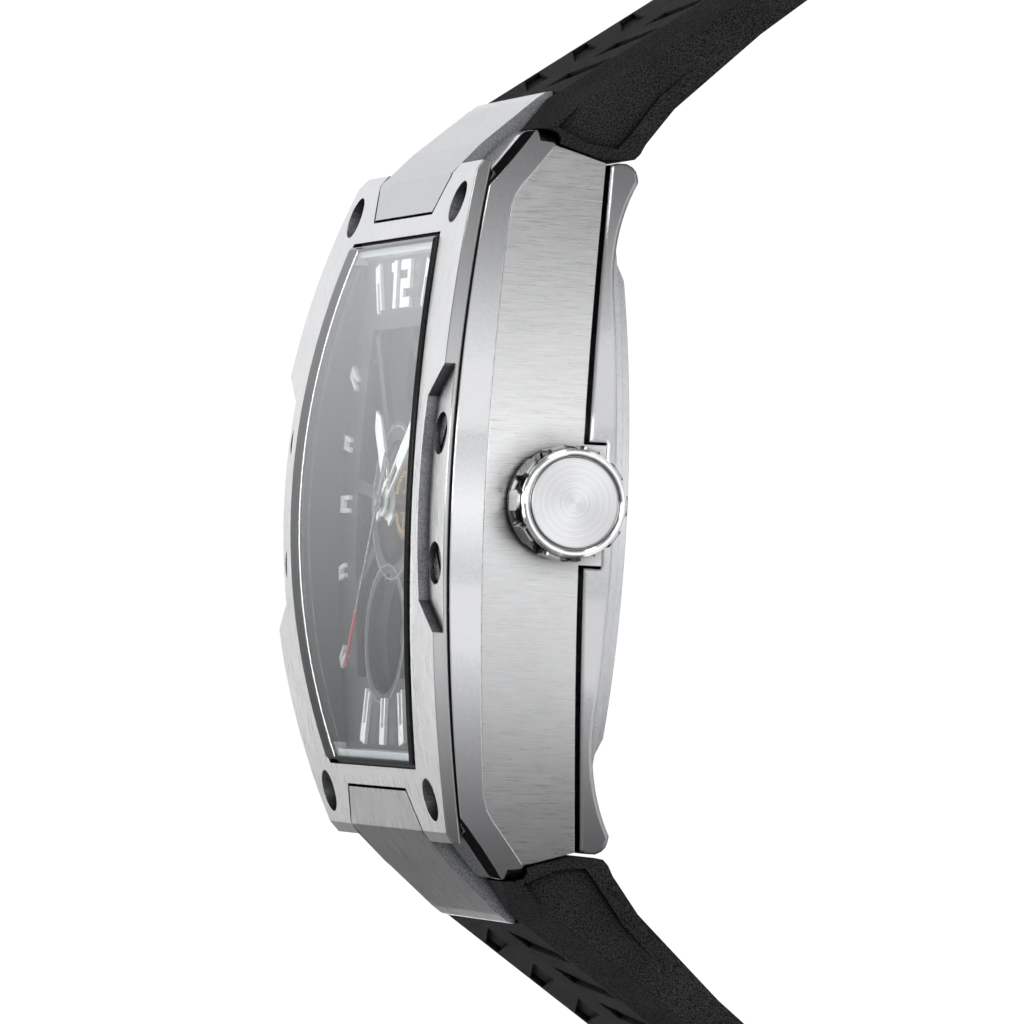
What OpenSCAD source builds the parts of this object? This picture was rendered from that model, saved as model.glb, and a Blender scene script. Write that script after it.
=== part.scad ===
// Skeleton wristwatch with a curved barrel-shaped steel case, an open-worked
// self-winding movement and a rubber strap with a pin buckle, lying unbuckled.
// Frame: origin on the hand axis at the outer face of the case back,
// +Z out of the dial, +Y to 12 o'clock, +X to 3 o'clock, where the crown is.

/* [Case] */
// Half width of the case band at the crown
case_half_w = 20; // [19.4:0.1:21]
// Radius of the long curved sides, seen from the front
side_r = 48; // [47:0.5:54]
// Thickness of the raised plate of the case back
back_plate_t = 1.3; // [1.2:0.05:1.6]
// Thickness of the case back's flange behind the rear frame
back_flange_t = 1.35; // [1.2:0.05:1.6]
// Thickness of the rear frame at the middle of the case
rear_frame_t = 0.7; // [0.6:0.05:0.9]
// Height of the brushed case band at the middle
band_t = 8.45; // [8.3:0.05:8.9]
// Height of the polished front frame at the middle
front_frame_t = 2.35; // [2.25:0.05:2.6]
// Height of the bezel's visible edge at the middle
bezel_t = 1.05; // [1:0.05:1.3]
// Thickness of the gasket between the bezel and the front frame
bezel_gasket_t = 0.15; // [0.1:0.05:0.2]
// Radius of the front of the bezel along 12 to 6 o'clock
front_r = 72; // [70:1:80]
// Radius of the front edge of the polished front frame
frame_r = 74; // [72:1:80]
// Radius of the seam between the case band and the front frame
seam_r = 90; // [84:1:110]
// Radius of the rear edge of the case band
rear_r = 104; // [100:1:120]
// Thickness of the case wall round the movement
case_wall = 3.4; // [3.2:0.1:3.6]
// Half length of the movement's cavity in the case
cavity_half_len = 18.6; // [18.3:0.1:18.9]
// Half length of the case band along 12 to 6 o'clock
band_half_len = 24.75; // [24.5:0.05:25]
// Half height of the solid bridge between the rail slots beside the crown
slot_gap = 4.1; // [3.9:0.1:4.6]
// Depth of the rail slots from the side of the case
slot_depth = 1.2; // [1:0.1:1.4]
// Height of the rail slots at the middle of the case
slot_h = 1.65; // [1.5:0.05:1.7]

/* [Bezel and crystal] */
// Half width of the bezel opening
opening_half_w = 14.75; // [14.5:0.05:14.9]
// Half length of the bezel opening
opening_half_len = 18.5; // [18.3:0.05:18.6]
// Gap between the crystal and the bezel
crystal_gap = 0.3; // [0.2:0.05:0.4]
// Thickness of the crystal
crystal_t = 1.4; // [1.2:0.05:1.5]
// How far the crystal lies below the front of the bezel
crystal_sink = 0.2; // [0.1:0.05:0.3]
// Half length of the bezel
bezel_half_len = 23.4; // [23.2:0.05:23.6]
// Distance of the recess wall at 3 and 9 o'clock from the middle
notch_x = 16.2; // [16:0.1:16.5]
// Depth of the recesses at 3 and 9 o'clock
notch_depth = 0.75; // [0.6:0.05:0.85]
// Diameter of the case screw heads
screw_head_d = 2.5; // [2.3:0.05:2.55]
// Diameter of the case screw shanks
screw_d = 1.4; // [1.2:0.1:1.5]
// Distance of the corner screws from the middle along 3 to 9 o'clock
corner_screw_x = 12.4; // [12.2:0.1:12.6]
// Distance of the corner screws from the middle along 12 to 6 o'clock
corner_screw_y = 20.5; // [20.4:0.05:20.7]
// Distance of the side screws from the middle along 3 to 9 o'clock
side_screw_x = 17.8; // [17.7:0.05:17.9]
// Distance of the side screws from the middle along 12 to 6 o'clock
side_screw_y = 4.4; // [4:0.1:4.8]

/* [Crown] */
// Diameter of the crown over its grip
crown_d = 7.9; // [7.4:0.1:8]
// Length of the crown
crown_len = 3.3; // [3:0.1:3.8]
// Number of grip flutes
crown_flutes = 10; // [8:1:12]
// How far the crown pulls out
crown_pull = 1.4; // [1:0.1:1.8]
// Outer diameter of the crown tube
tube_d = 3; // [2.8:0.1:3.2]
// Diameter of the winding stem
stem_d = 1.1; // [1:0.05:1.2]

/* [Dial and hands] */
// Thickness of the dial
dial_t = 0.4; // [0.3:0.05:0.5]
// Radius of the ring round the hands
centre_ring_r = 5.6; // [5.4:0.1:5.8]
// Length of the hour hand
hour_len = 7.4; // [7:0.1:7.8]
// Length of the minute hand
minute_len = 11.2; // [10.6:0.1:11.8]
// Length of the seconds hand
seconds_len = 13; // [12.4:0.1:13.2]
// Angle of the hour hand at rest, clockwise from 12 o'clock
hour_angle = -31; // [-180:1:180]
// Angle of the minute hand at rest, clockwise from 12 o'clock
minute_angle = 53; // [-180:1:180]
// Angle of the seconds hand at rest, clockwise from 12 o'clock
seconds_angle = 209; // [0:1:360]

/* [Movement] */
// Radius of the movement
movement_r = 15; // [14.9:0.05:15.2]
// Thickness of the main plate
plate_t = 1.4; // [1.2:0.05:1.5]
// Height of the space for the wheels between the plate and the bridges
train_h = 2.2; // [2.1:0.05:2.4]
// Thickness of the bridges
bridge_t = 0.6; // [0.5:0.05:0.7]
// Height of the rotor's weight
rotor_t = 1.2; // [1:0.05:1.3]
// Radius of the rotor
rotor_r = 13.8; // [13.2:0.1:14]
// Tooth size of the mainspring barrel
barrel_m = 0.145; // [0.14:0.001:0.146]
// Tooth size of the second and third wheels
train_m = 0.11; // [0.106:0.001:0.112]
// Tooth size of the fourth wheel
fourth_m = 0.09; // [0.086:0.001:0.092]
// Tooth size of the crown wheel and the ratchet wheel
winding_m = 0.2; // [0.196:0.001:0.202]
// Radius of the balance rim
balance_r = 3.9; // [3.7:0.05:4]
// Radius of the escape wheel
escape_r = 2.1; // [2:0.05:2.2]

/* [Strap] */
// Width of the strap at its buckle end
strap_end_w = 22; // [20:0.5:24]
// Thickness of the strap where it curves
strap_t = 3.2; // [3:0.1:3.4]
// Radius of the middle of the strap's curve
strap_r = 23; // [22:0.5:24]
// Length of the straight part of the strap from the hood's tip
strap_straight = 24; // [22:0.5:26]
// Slope of the strap's outer face as it leaves the case, in degrees
strap_slope = 55.5; // [54:0.5:57]
// Drop of the sloping shoulders along the strap's outer face
strap_shoulder = 1.1; // [0.6:0.1:1.3]
// Gap between the end of the long half of the strap and the buckle
tail_gap = 0.8; // [0.6:0.1:3]
// Distance between the adjusting holes
hole_pitch = 6.5; // [6:0.1:7]
// Diameter of the adjusting holes
hole_d = 2.2; // [2:0.1:2.4]

/* [Buckle] */
// Length of the buckle frame from its bar to its front
buckle_len = 13; // [12:0.5:14]
// Thickness of the buckle frame
buckle_t = 2.2; // [2:0.1:2.4]
// Width of the side arms of the buckle frame
buckle_arm = 1.8; // [1.6:0.1:2]
// Diameter of the buckle bar
bar_d = 1.3; // [1.2:0.05:1.4]
// Width of the strap loops
loop_w = 5; // [4:0.5:6]
// Wall of the strap loops
loop_t = 1; // [0.8:0.1:1.2]

/* [Clearances] */
// Clearance between rigid pieces that are fitted into each other
fit = 0.02; // [0.02:0.01:0.05]
// Radial running clearance of pivots and hand pipes
run = 0.03; // [0.02:0.01:0.04]
// Clearance between pieces that move past each other
move = 0.15; // [0.1:0.05:0.2]

/* [Hidden] */
arc_fn = 360;
round_fn = 48;
$fn = round_fn;

// Heights of the case layers at the middle of the case
z_flange = back_plate_t;
z_rear = z_flange + back_flange_t;
z_band = z_rear + rear_frame_t;
z_seam = z_band + band_t;
z_frame = z_seam + front_frame_t;
z_lip = z_frame + bezel_gasket_t;
z_top = z_lip + bezel_t;
z_crystal = z_top - crystal_sink;
crystal_seat_t = 0.3;
z_ledge = z_crystal - crystal_t - crystal_seat_t;
skirt_drop = 0.75;
bezel_lean = 0.15;
head_gap = 0.2;
z_skirt = z_frame - skirt_drop;
skirt_inset = 1.8;
opening_inset = case_half_w - opening_half_w;
crystal_inset = opening_inset + crystal_gap;
frame_opening_inset = opening_inset + 1.15;
frame_opening_half_len = opening_half_len - 0.9;
lug_reach = 1;

// Heights of the case screws and the case back's sizes
head_t = 0.7;
corner_head_z = z_top - front_r + sqrt(pow(front_r, 2) - pow(corner_screw_y + 1.4, 2)) - head_t - 0.45;
side_head_z = z_top - notch_depth - head_t - 0.45;
corner_screw_end = z_rear + fit + 0.15;
side_screw_end = z_band - 0.25;
rail_slot = 0.45;
window_r = 12.4;
back_inset = 5;
back_flange_inset = 2.5;
back_screw_d = 1;

// Heights of the movement
rotor_gap = 0.35;
z_rotor = z_rear + rotor_gap;
winding_t = 0.5;
z_winding = z_rotor + rotor_t + 0.45;
z_bridge = z_winding + winding_t - 0.12;
z_train = z_bridge + bridge_t;
z_plate = z_train + train_h;
z_motion = z_plate + plate_t;
motion_h = 1;
z_dial = z_motion + motion_h;
z_hands = z_dial + dial_t;
crown_z = z_train + 0.87;

// Case end shapes in the side view, as distance along 12 o'clock and height
shoulder_y = 20.2;
shoulder_z = z_seam - 2.35;
shoulder_points = [
  [shoulder_y, shoulder_z], [shoulder_y + 0.8, shoulder_z - 0.35], [shoulder_y + 1.5, shoulder_z - 0.88],
  [shoulder_y + 2.1, shoulder_z - 1.47]
];
tip_z = z_seam - 6.1;
back_end_y = band_half_len - 1.15;
back_end_z = z_rear - 0.65;
flare_y = 14.5;
flare_z = z_rear - 0.15;
flare_r = 14;
hood_gap = 0.2;
hood_start = opening_half_len + 1.55;
hood_t = 1.3;
hood_half_in = 6.9;
hood_half_mid = 8.5;
hood_half_end = 7.8;
tongue_half_w = 7.4;

// Movement plan: centres of the wheels
centre = [0, 0];
motion_m = 0.125;
hour_m = 0.12;
cannon_n = 12;
minute_n = 36;
minute_pinion_n = 10;
hour_n = 40;
barrel_n = 72;
second_pinion_n = 12;
second_n = 64;
third_pinion_n = 8;
third_n = 60;
fourth_pinion_n = 8;
fourth_n = 70;
escape_pinion_n = 7;
escape_n = 15;
crown_wheel_n = 36;
ratchet_n = 48;
winding_pinion_n = 12;
minute_centre_d = (cannon_n + minute_n) * motion_m / 2;
second_pos = 5 * [cos(120), sin(120)];
minute_pos = meet(centre, minute_centre_d, second_pos, minute_centre_d, -1);
third_pos = meet(centre, (third_n + fourth_pinion_n) * train_m / 2,
                 second_pos, (second_n + third_pinion_n) * train_m / 2, 1);
barrel_pos = second_pos + (barrel_n + second_pinion_n) * barrel_m / 2 * [cos(50), sin(50)];
escape_pos = (fourth_n + escape_pinion_n) * fourth_m / 2 * [cos(-110), sin(-110)];
balance_pos = [-1, -9];
fork_dir = (balance_pos - escape_pos) / norm(balance_pos - escape_pos);
pallet_pos = escape_pos + (escape_r / cos(30) + 0.2) * fork_dir;
crown_wheel_r = crown_wheel_n * winding_m / 2;
ratchet_r = ratchet_n * winding_m / 2;
crown_wheel_y = crown_wheel_r;
crown_wheel_pos = [barrel_pos.x + sqrt(pow(crown_wheel_r + ratchet_r, 2)
                   - pow(barrel_pos.y - crown_wheel_y, 2)), crown_wheel_y];
arbor_r = 0.3;
pivot_r = 0.13;
jewel_r = 0.62;
jewel_t = 0.3;
pivot_gap = 0.06;

// Levels of the wheels above the bridges
z_third = z_train + 0.15;
z_fourth = z_train + 0.6;
z_barrel = z_train + 0.15;
barrel_h = 1.4;
z_barrel_teeth = z_train + 0.85;
z_second = z_train + 1.75;
z_hairspring = z_train + 0.15;
z_balance = z_train + 0.6;
z_pallets = z_train + 1.45;
z_fork = z_pallets + 0.25;
z_escape = z_fork;
wheel_t = 0.18;

// Strap path in the side view
strap_root = [band_half_len + 3.45, z_band + 1.85];
strap_dir = [cos(strap_slope), -sin(strap_slope)];
strap_in = [-sin(strap_slope), -cos(strap_slope)];
arc_start = strap_root + strap_straight * strap_dir;
arc_centre = arc_start + (strap_r + strap_t / 2) * strap_in;
strap_floor = arc_centre.y - strap_r - strap_t / 2;
bar_y = arc_centre.x - 2.6;
bar_z = strap_floor + strap_t / 2;
flat_face_half_w = 9;
panel_x = 12.95;
root_face_gap = 0.1;
tail_len = 2 * arc_centre.x - 2.6 - buckle_len - tail_gap;
curve_steps = 60;

function meet(a, ra, b, rb, side) =
  let (d = norm(b - a), u = (b - a) / d, t = (ra * ra - rb * rb + d * d) / (2 * d))
  a + u * t + side * sqrt(ra * ra - t * t) * [-u.y, u.x];
function bearing(a, b) = atan2(b.y - a.y, b.x - a.x);
function polar(r, a) = [r * cos(a), r * sin(a)];
// Angle of the second of two meshing gears, so that a gap faces the first one's tooth
function mesh_angle(dir, turn1, n1, n2) =
  dir + 180 - (0.5 - (dir - turn1) * n1 / 360) * 360 / n2;
function gear_points(n, m) = [
  for (i = [0 : n - 1])
    for (q = [[-0.26, -1.2], [-0.12, 0.9], [0.12, 0.9], [0.26, -1.2]])
      polar((n / 2 + q[1]) * m, 360 / n * (i + q[0]))
];
function spiral_points(r0, r1, turns, t, steps) = concat(
  [for (i = [0 : steps]) polar(r0 + (r1 - r0) * i / steps, 360 * turns * i / steps)],
  [for (i = [steps : -1 : 0]) polar(r0 + (r1 - r0) * i / steps + t, 360 * turns * i / steps)]
);

// Barrel-shaped outline, inset from the sides of the case
module plan(inset, half_len) {
  intersection() {
    translate([side_r - case_half_w, 0]) circle(r = side_r - inset, $fn = arc_fn);
    translate([case_half_w - side_r, 0]) circle(r = side_r - inset, $fn = arc_fn);
    square([4 * case_half_w, 2 * half_len], center = true);
  }
}

// Straight prism over the outline between two heights
module plan_block(inset, half_len, z0, z1) {
  translate([0, 0, z0]) linear_extrude(z1 - z0) plan(inset, half_len);
}

// Block whose long sides lean in from one inset to another
module leaning_block(inset0, inset1, z0, z1) {
  intersection() {
    translate([side_r - case_half_w, 0, z0])
      cylinder(h = z1 - z0, r1 = side_r - inset0, r2 = side_r - inset1, $fn = arc_fn);
    translate([case_half_w - side_r, 0, z0])
      cylinder(h = z1 - z0, r1 = side_r - inset0, r2 = side_r - inset1, $fn = arc_fn);
  }
}

// Side-view shape, given along 12 o'clock and up, swept across the case
module across(w) {
  rotate([90, 0, 90]) linear_extrude(w, center = true) children();
}

// Everything below an arched surface with its crest at height z
module below(z, r) {
  translate([0, z - r]) circle(r = r, $fn = arc_fn);
}

module both_ends() {
  for (s = [0, 1]) mirror([0, s, 0]) children();
}

module both_sides() {
  for (s = [0, 1]) mirror([s, 0, 0]) children();
}

module at(p, z) {
  translate([p.x, p.y, z]) children();
}

module tube(r_out, r_in, h) {
  difference() {
    cylinder(r = r_out, h = h);
    translate([0, 0, -1]) cylinder(r = r_in, h = h + 2);
  }
}

module pillar(r, z0, z1) {
  translate([0, 0, z0]) cylinder(r = r, h = z1 - z0);
}

// Four corner and four side case screw places
module at_case_screws() {
  both_sides() both_ends() {
    translate([corner_screw_x, corner_screw_y, 0]) children();
    translate([side_screw_x, side_screw_y, 0]) children();
  }
}

// Side view of the case band, up to its seam with the front frame
module band_profile() {
  difference() {
    intersection() {
      below(z_seam, seam_r);
      polygon(concat(
        [[shoulder_y, z_top]], shoulder_points, [[band_half_len, tip_z], [back_end_y, back_end_z],
         [-back_end_y, back_end_z], [-band_half_len, tip_z]],
        [for (i = [len(shoulder_points) - 1 : -1 : 0]) [-shoulder_points[i].x, shoulder_points[i].y]],
        [[-shoulder_y, z_top]]
      ));
    }
    below(z_band, rear_r);
  }
}

// Slot of the strap tongue in the ends of the case
module tongue_slot(half_w) {
  both_ends()
    translate([-half_w, cavity_half_len + 1.7, 0]) cube([2 * half_w, case_half_w, z_top]);
}

// Hood screw places under both hoods
module at_hood_screws() {
  both_ends() for (s = [-1, 1]) translate([s * hood_screw_x, hood_screw_y, 0]) children();
}

module mid_case() {
  color("silver") difference() {
    intersection() {
      plan_block(0, band_half_len + 1, 0, z_top);
      across(3 * case_half_w) band_profile();
    }
    plan_block(case_wall, cavity_half_len, -1, z_top);
    // The rear edge steps up beside the tab under the crown
    both_ends() intersection() {
      translate([-2 * case_half_w, slot_gap, -1]) cube([4 * case_half_w, 2 * case_half_w, z_top]);
      across(3 * case_half_w) below(z_band + slot_h, rear_r);
    }
    tongue_slot(tongue_half_w + move);
    at_case_screws() pillar(screw_d / 2 + fit, -1, z_top);
    translate([0, 0, crown_z]) rotate([0, 90, 0])
      cylinder(r = tube_d / 2 + fit, h = 2 * case_half_w);
    both_ends() strap_bar_hole();
  }
}

// Side view of one lug, from the shoulder round its blunt tip to the front
lug_points = concat(shoulder_points, [
  [band_half_len, tip_z], [band_half_len + 0.42, tip_z - 0.12],
  [band_half_len + 0.75, tip_z + 0.05], [band_half_len + lug_reach - 0.07, tip_z + 0.55],
  [band_half_len + lug_reach, tip_z + 1.5], [band_half_len + lug_reach - 0.1, tip_z + 2],
  [band_half_len + lug_reach - 0.35, tip_z + 2.3], [band_half_len - 2.15, tip_z + 4.9],
  [band_half_len - 2.15, z_top]
]);

module frame_profile() {
  difference() {
    intersection() {
      below(z_frame, frame_r);
      polygon(concat(lug_points, [for (i = [len(lug_points) - 1 : -1 : 0])
        [-lug_points[i].x, lug_points[i].y]]));
    }
    intersection() {
      below(z_seam, seam_r);
      square([2 * shoulder_y, 4 * z_top], center = true);
    }
  }
}

module front_frame() {
  color("gainsboro") difference() {
    intersection() {
      plan_block(0, band_half_len + 3, 0, z_top);
      across(3 * case_half_w) frame_profile();
    }
    plan_block(frame_opening_inset, frame_opening_half_len, 0, z_top + 1);
    // Pocket of the bezel's skirt, with a ledge left standing for the crystal
    difference() {
      intersection() {
        plan_block(skirt_inset, bezel_half_len - 1, 0, z_top + 1);
        across(3 * case_half_w) difference() {
          square([4 * case_half_w, 4 * z_top], center = true);
          below(z_skirt, frame_r);
        }
      }
      intersection() {
        plan_block(opening_inset + crystal_gap / 2, opening_half_len - crystal_gap / 2, 0, z_top);
        across(3 * case_half_w) below(z_ledge, front_r);
      }
    }
    // Room of the crystal and its gasket
    intersection() {
      plan_block(opening_inset, opening_half_len, 0, z_top);
      across(3 * case_half_w) difference() {
        square([4 * case_half_w, 4 * z_top], center = true);
        below(z_ledge, front_r);
      }
    }
    // Seat under each hood, which the hood is screwed to from behind
    both_ends() intersection() {
      translate([-hood_half_mid - 0.6, hood_start - 0.4, 0])
        cube([2 * hood_half_mid + 1.2, case_half_w, z_top + 1]);
      across(3 * case_half_w) above_hood(fit);
    }
    at_hood_screws() pillar(hood_screw_d / 2 + fit, 0, z_top);
    at_hood_screws() pillar(hood_screw_d / 2 + 0.4, 0, hood_seat_z);
    at_case_screws() pillar(screw_d / 2 + fit, 0, z_top);
    both_sides() both_ends() {
      translate([corner_screw_x, corner_screw_y, 0])
        pillar(screw_head_d / 2 + head_gap, corner_head_z - fit, z_top);
      translate([side_screw_x, side_screw_y, 0])
        pillar(screw_head_d / 2 + head_gap, side_head_z - fit, z_top);
    }
    // Bevel along the outer edge of each lug
    both_ends() both_sides() translate([case_half_w - 6.6, band_half_len - 1, tip_z + 3.45])
      rotate([0, 63.4, 53.7]) translate([-4, -4, 0]) cube([8, 8, 4]);
  }
}

// Side view of the rear frame, with ends that flare back as horns
module horn_profile() {
  tip = [
    [back_end_y, back_end_z - 0.35], [back_end_y + 0.17, back_end_z - 0.7],
    [back_end_y + 0.17, back_end_z - 1.3], [back_end_y - 0.05, back_end_z - 1.7],
    [back_end_y - 0.35, back_end_z - 1.92], [back_end_y - 0.7, back_end_z - 1.98],
    [back_end_y - 1.3, back_end_z - 1.98]
  ];
  difference() {
    polygon(concat([[-back_end_y, z_band + slot_h], [back_end_y, z_band + slot_h]], tip,
      [for (i = [len(tip) - 1 : -1 : 0]) [-tip[i].x, tip[i].y]]));
    polygon([[-flare_y, flare_z], [flare_y, flare_z], [flare_y, -4], [-flare_y, -4]]);
    for (s = [-1, 1]) translate([s * flare_y, flare_z - flare_r]) circle(r = flare_r, $fn = arc_fn);
  }
}

// Place of the rear frame under the band, with a rail slot along its outer edge
module rear_frame_room() {
  across(3 * case_half_w) difference() {
    below(z_band - fit, rear_r);
    for (s = [-1, 1]) translate([s * 2 * case_half_w, 0])
      square([4 * case_half_w - 2 * slot_gap - 0.4, 4 * z_top], center = true);
  }
  both_ends() intersection() {
    translate([-2 * case_half_w, slot_gap + 0.2, -3]) cube([4 * case_half_w, 2 * case_half_w, z_top]);
    union() {
      across(3 * case_half_w) below(z_band + slot_h - rail_slot, rear_r);
      intersection() {
        plan_block(slot_depth, band_half_len + 2, -3, z_top);
        across(3 * case_half_w) below(z_band + slot_h - fit, rear_r);
      }
    }
  }
}

module rear_frame() {
  color("gainsboro") difference() {
    intersection() {
      plan_block(0.15, back_end_y + 2, -2, z_top);
      across(3 * case_half_w) horn_profile();
      rear_frame_room();
    }
    plan_block(case_wall + 0.8, cavity_half_len - 0.8, -3, z_top);
    // Seat of the case back's flange
    plan_block(back_flange_inset - 0.1, cavity_half_len + 1.6, -3, z_rear + fit);
    both_ends() translate([-tongue_half_w - 3.4, cavity_half_len + 2.4, -3])
      cube([2 * tongue_half_w + 6.8, case_half_w, z_top]);
    both_sides() both_ends() {
      translate([corner_screw_x, corner_screw_y, 0])
        pillar(screw_d / 2 + fit, corner_screw_end - fit, z_top);
      translate([side_screw_x, side_screw_y, 0])
        pillar(screw_d / 2 + fit, side_screw_end - 0.1, z_top);
    }
    at_back_screws() pillar(back_screw_d / 2 + fit, -3, z_top);
  }
}

// Side view of the bezel with bevelled ends, above an arched underside
module bezel_profile(z, r) {
  difference() {
    intersection() {
      below(z_top, front_r);
      polygon([
        [bezel_half_len - 0.35, 0], [bezel_half_len, z_top - 4.25], [bezel_half_len - 0.85, z_top - 3.55],
        [bezel_half_len - 0.85, z_top + 1], [0.85 - bezel_half_len, z_top + 1],
        [0.85 - bezel_half_len, z_top - 3.55], [-bezel_half_len, z_top - 4.25], [0.35 - bezel_half_len, 0]
      ]);
    }
    below(z, r);
  }
}

module bezel() {
  color("gainsboro") difference() {
    union() {
      intersection() {
        leaning_block(0.05, bezel_lean, z_top - 6.5, z_top);
        across(3 * case_half_w) bezel_profile(z_lip, frame_r + bezel_gasket_t);
      }
      intersection() {
        plan_block(skirt_inset + fit, bezel_half_len - 1 - fit, 0, z_top - 0.3);
        across(3 * case_half_w) bezel_profile(z_skirt + fit, frame_r + fit);
      }
    }
    plan_block(opening_inset, opening_half_len, 0, z_top + 1);
    hood_recess();
    both_sides() notch();
    at_case_screws() pillar(screw_d / 2 + fit, 0, z_top + 1);
    both_sides() both_ends() {
      translate([corner_screw_x, corner_screw_y, 0])
        pillar(screw_head_d / 2 + head_gap, corner_head_z - fit, z_top + 1);
      translate([side_screw_x, side_screw_y, 0])
        pillar(screw_head_d / 2 + head_gap, side_head_z - fit, z_top + 1);
    }
  }
}

// T-shaped gap in the ends of the bezel for the strap hoods
module hood_recess() {
  both_ends() linear_extrude(z_top + 1) polygon([
    [-hood_half_in - hood_gap, hood_start - hood_gap], [hood_half_in + hood_gap, hood_start - hood_gap],
    [hood_half_mid + hood_gap, hood_start + 2.4], [hood_half_mid + hood_gap, bezel_half_len + 2],
    [-hood_half_mid - hood_gap, bezel_half_len + 2], [-hood_half_mid - hood_gap, hood_start + 2.4]
  ]);
}

// Recessed shelf at 3 or 9 o'clock, which carries two case screws
module notch() {
  intersection() {
    linear_extrude(z_top + 1) polygon([
      [notch_x, -side_screw_y - 2.55], [notch_x, side_screw_y + 2.55],
      [case_half_w + 1, side_screw_y + 6.3], [case_half_w + 1, -side_screw_y - 6.3]
    ]);
    across(3 * case_half_w) difference() {
      square([case_half_w * 2, 4 * z_top], center = true);
      below(z_top - notch_depth, front_r);
    }
  }
}

module bezel_gasket() {
  color("black") difference() {
    intersection() {
      plan_block(0.25, bezel_half_len - 0.5, 0, z_top);
      across(3 * case_half_w) difference() {
        below(z_lip - fit / 2, frame_r + bezel_gasket_t);
        below(z_frame + fit / 2, frame_r);
      }
    }
    plan_block(skirt_inset - 0.15, bezel_half_len - 0.9, 0, z_top + 1);
    both_ends() translate([-hood_half_mid - 0.7, hood_start - 0.2, 0])
      cube([2 * hood_half_mid + 1.4, case_half_w, z_top]);
    at_case_screws() pillar(screw_head_d / 2 + head_gap, 0, z_top);
  }
}

module crystal() {
  color("lightcyan", 0.35) intersection() {
    plan_block(crystal_inset, opening_half_len - crystal_gap, 0, z_top);
    across(3 * case_half_w) difference() {
      below(z_crystal, front_r);
      below(z_ledge + crystal_seat_t, front_r);
    }
  }
}

module crystal_gasket() {
  color("black") difference() {
    intersection() {
      plan_block(opening_inset + fit, opening_half_len - fit, 0, z_top);
      across(3 * case_half_w) difference() {
        below(z_crystal - 0.35, front_r);
        below(z_ledge + fit / 2, front_r);
      }
    }
    plan_block(frame_opening_inset - 0.05, frame_opening_half_len + 0.05, 0, z_top);
    intersection() {
      plan_block(crystal_inset - fit, opening_half_len - crystal_gap + fit, 0, z_top);
      across(3 * case_half_w) difference() {
        square([case_half_w * 3, 4 * z_top], center = true);
        below(z_ledge + crystal_seat_t - fit / 2, front_r);
      }
    }
  }
}

// Slotted case screw with its head at the given height
module case_screw(z_head, z_end) {
  difference() {
    union() {
      pillar(screw_head_d / 2, z_head, z_head + head_t);
      pillar(screw_d / 2, z_end, z_head + 0.1);
    }
    translate([-screw_head_d, -0.2, z_head + head_t - 0.3]) cube([2 * screw_head_d, 0.4, 1]);
  }
}

module bezel_screws() {
  color("dimgray") both_sides() both_ends() {
    translate([corner_screw_x, corner_screw_y, 0]) rotate([0, 0, 35])
      case_screw(corner_head_z, corner_screw_end);
    translate([side_screw_x, side_screw_y, 0]) rotate([0, 0, 52]) case_screw(side_head_z, side_screw_end);
  }
}

// Side view of a strap hood, a bent plate that covers the strap's root
hood_top_z = z_top - front_r + sqrt(pow(front_r, 2) - pow(hood_start, 2));
hood_inner = [
  [hood_start, hood_top_z - hood_t], [hood_start + 2.1, hood_top_z - 0.8 - hood_t],
  [hood_start + 3.9, hood_top_z - 3.75], [hood_start + 7.2, hood_top_z - 7.45],
  [hood_start + 8.35, hood_top_z - 8.15]
];

module hood_profile() {
  polygon(concat(hood_inner, [
    [hood_start + 8.85, hood_top_z - 8], [hood_start + 8.75, hood_top_z - 7.55],
    [hood_start + 8.25, hood_top_z - 6.85], [hood_start + 4.9, hood_top_z - 2.95],
    [hood_start + 2.65, hood_top_z - 0.8], [hood_start, hood_top_z]
  ]));
}

// Everything in front of a hood's inner face, lowered by a gap
module above_hood(gap) {
  polygon(concat(
    [[hood_start - 2, z_top + 2], [hood_start - 2, hood_inner[0].y + 0.4 - gap]],
    [for (q = hood_inner) [q.x - gap * 0.7, q.y - gap * 0.75]],
    [[hood_start + 9.15, hood_top_z - 8.1 - gap], [hood_start + 9.15, z_top + 2]]
  ));
}

module hood() {
  difference() {
    intersection() {
      across(3 * case_half_w) hood_profile();
      linear_extrude(z_top + 1) polygon([
        [-hood_half_in, hood_start], [hood_half_in, hood_start], [hood_half_mid, hood_start + 2.5],
        [hood_half_end, hood_start + 9], [-hood_half_end, hood_start + 9],
        [-hood_half_mid, hood_start + 2.5]
      ]);
    }
    for (s = [-1, 1]) translate([s * hood_screw_x, hood_screw_y, 0])
      pillar(hood_screw_d / 2 + fit, 0, hood_screw_top);
  }
}

hood_screw_x = 4.2;
hood_screw_y = hood_start + 1.15;
hood_screw_d = 1;
hood_seat_z = shoulder_z;
hood_screw_top = hood_top_z - 0.75;

module hood_top() {
  color("silver") hood();
}

module hood_bottom() {
  color("silver") mirror([0, 1, 0]) hood();
}

module hood_screws() {
  color("gray") at_hood_screws() {
    pillar(hood_screw_d / 2, hood_seat_z - 0.2, hood_screw_top - 0.1);
    pillar(hood_screw_d / 2 + 0.35, hood_seat_z - 0.55, hood_seat_z - 0.02);
  }
}

// Places of the eight case back screws
module at_back_screws() {
  both_sides() both_ends() {
    translate([9.6, cavity_half_len + 0.5, 0]) children();
    translate([case_half_w - case_wall - 0.7, 6.5, 0]) children();
  }
}

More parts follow.
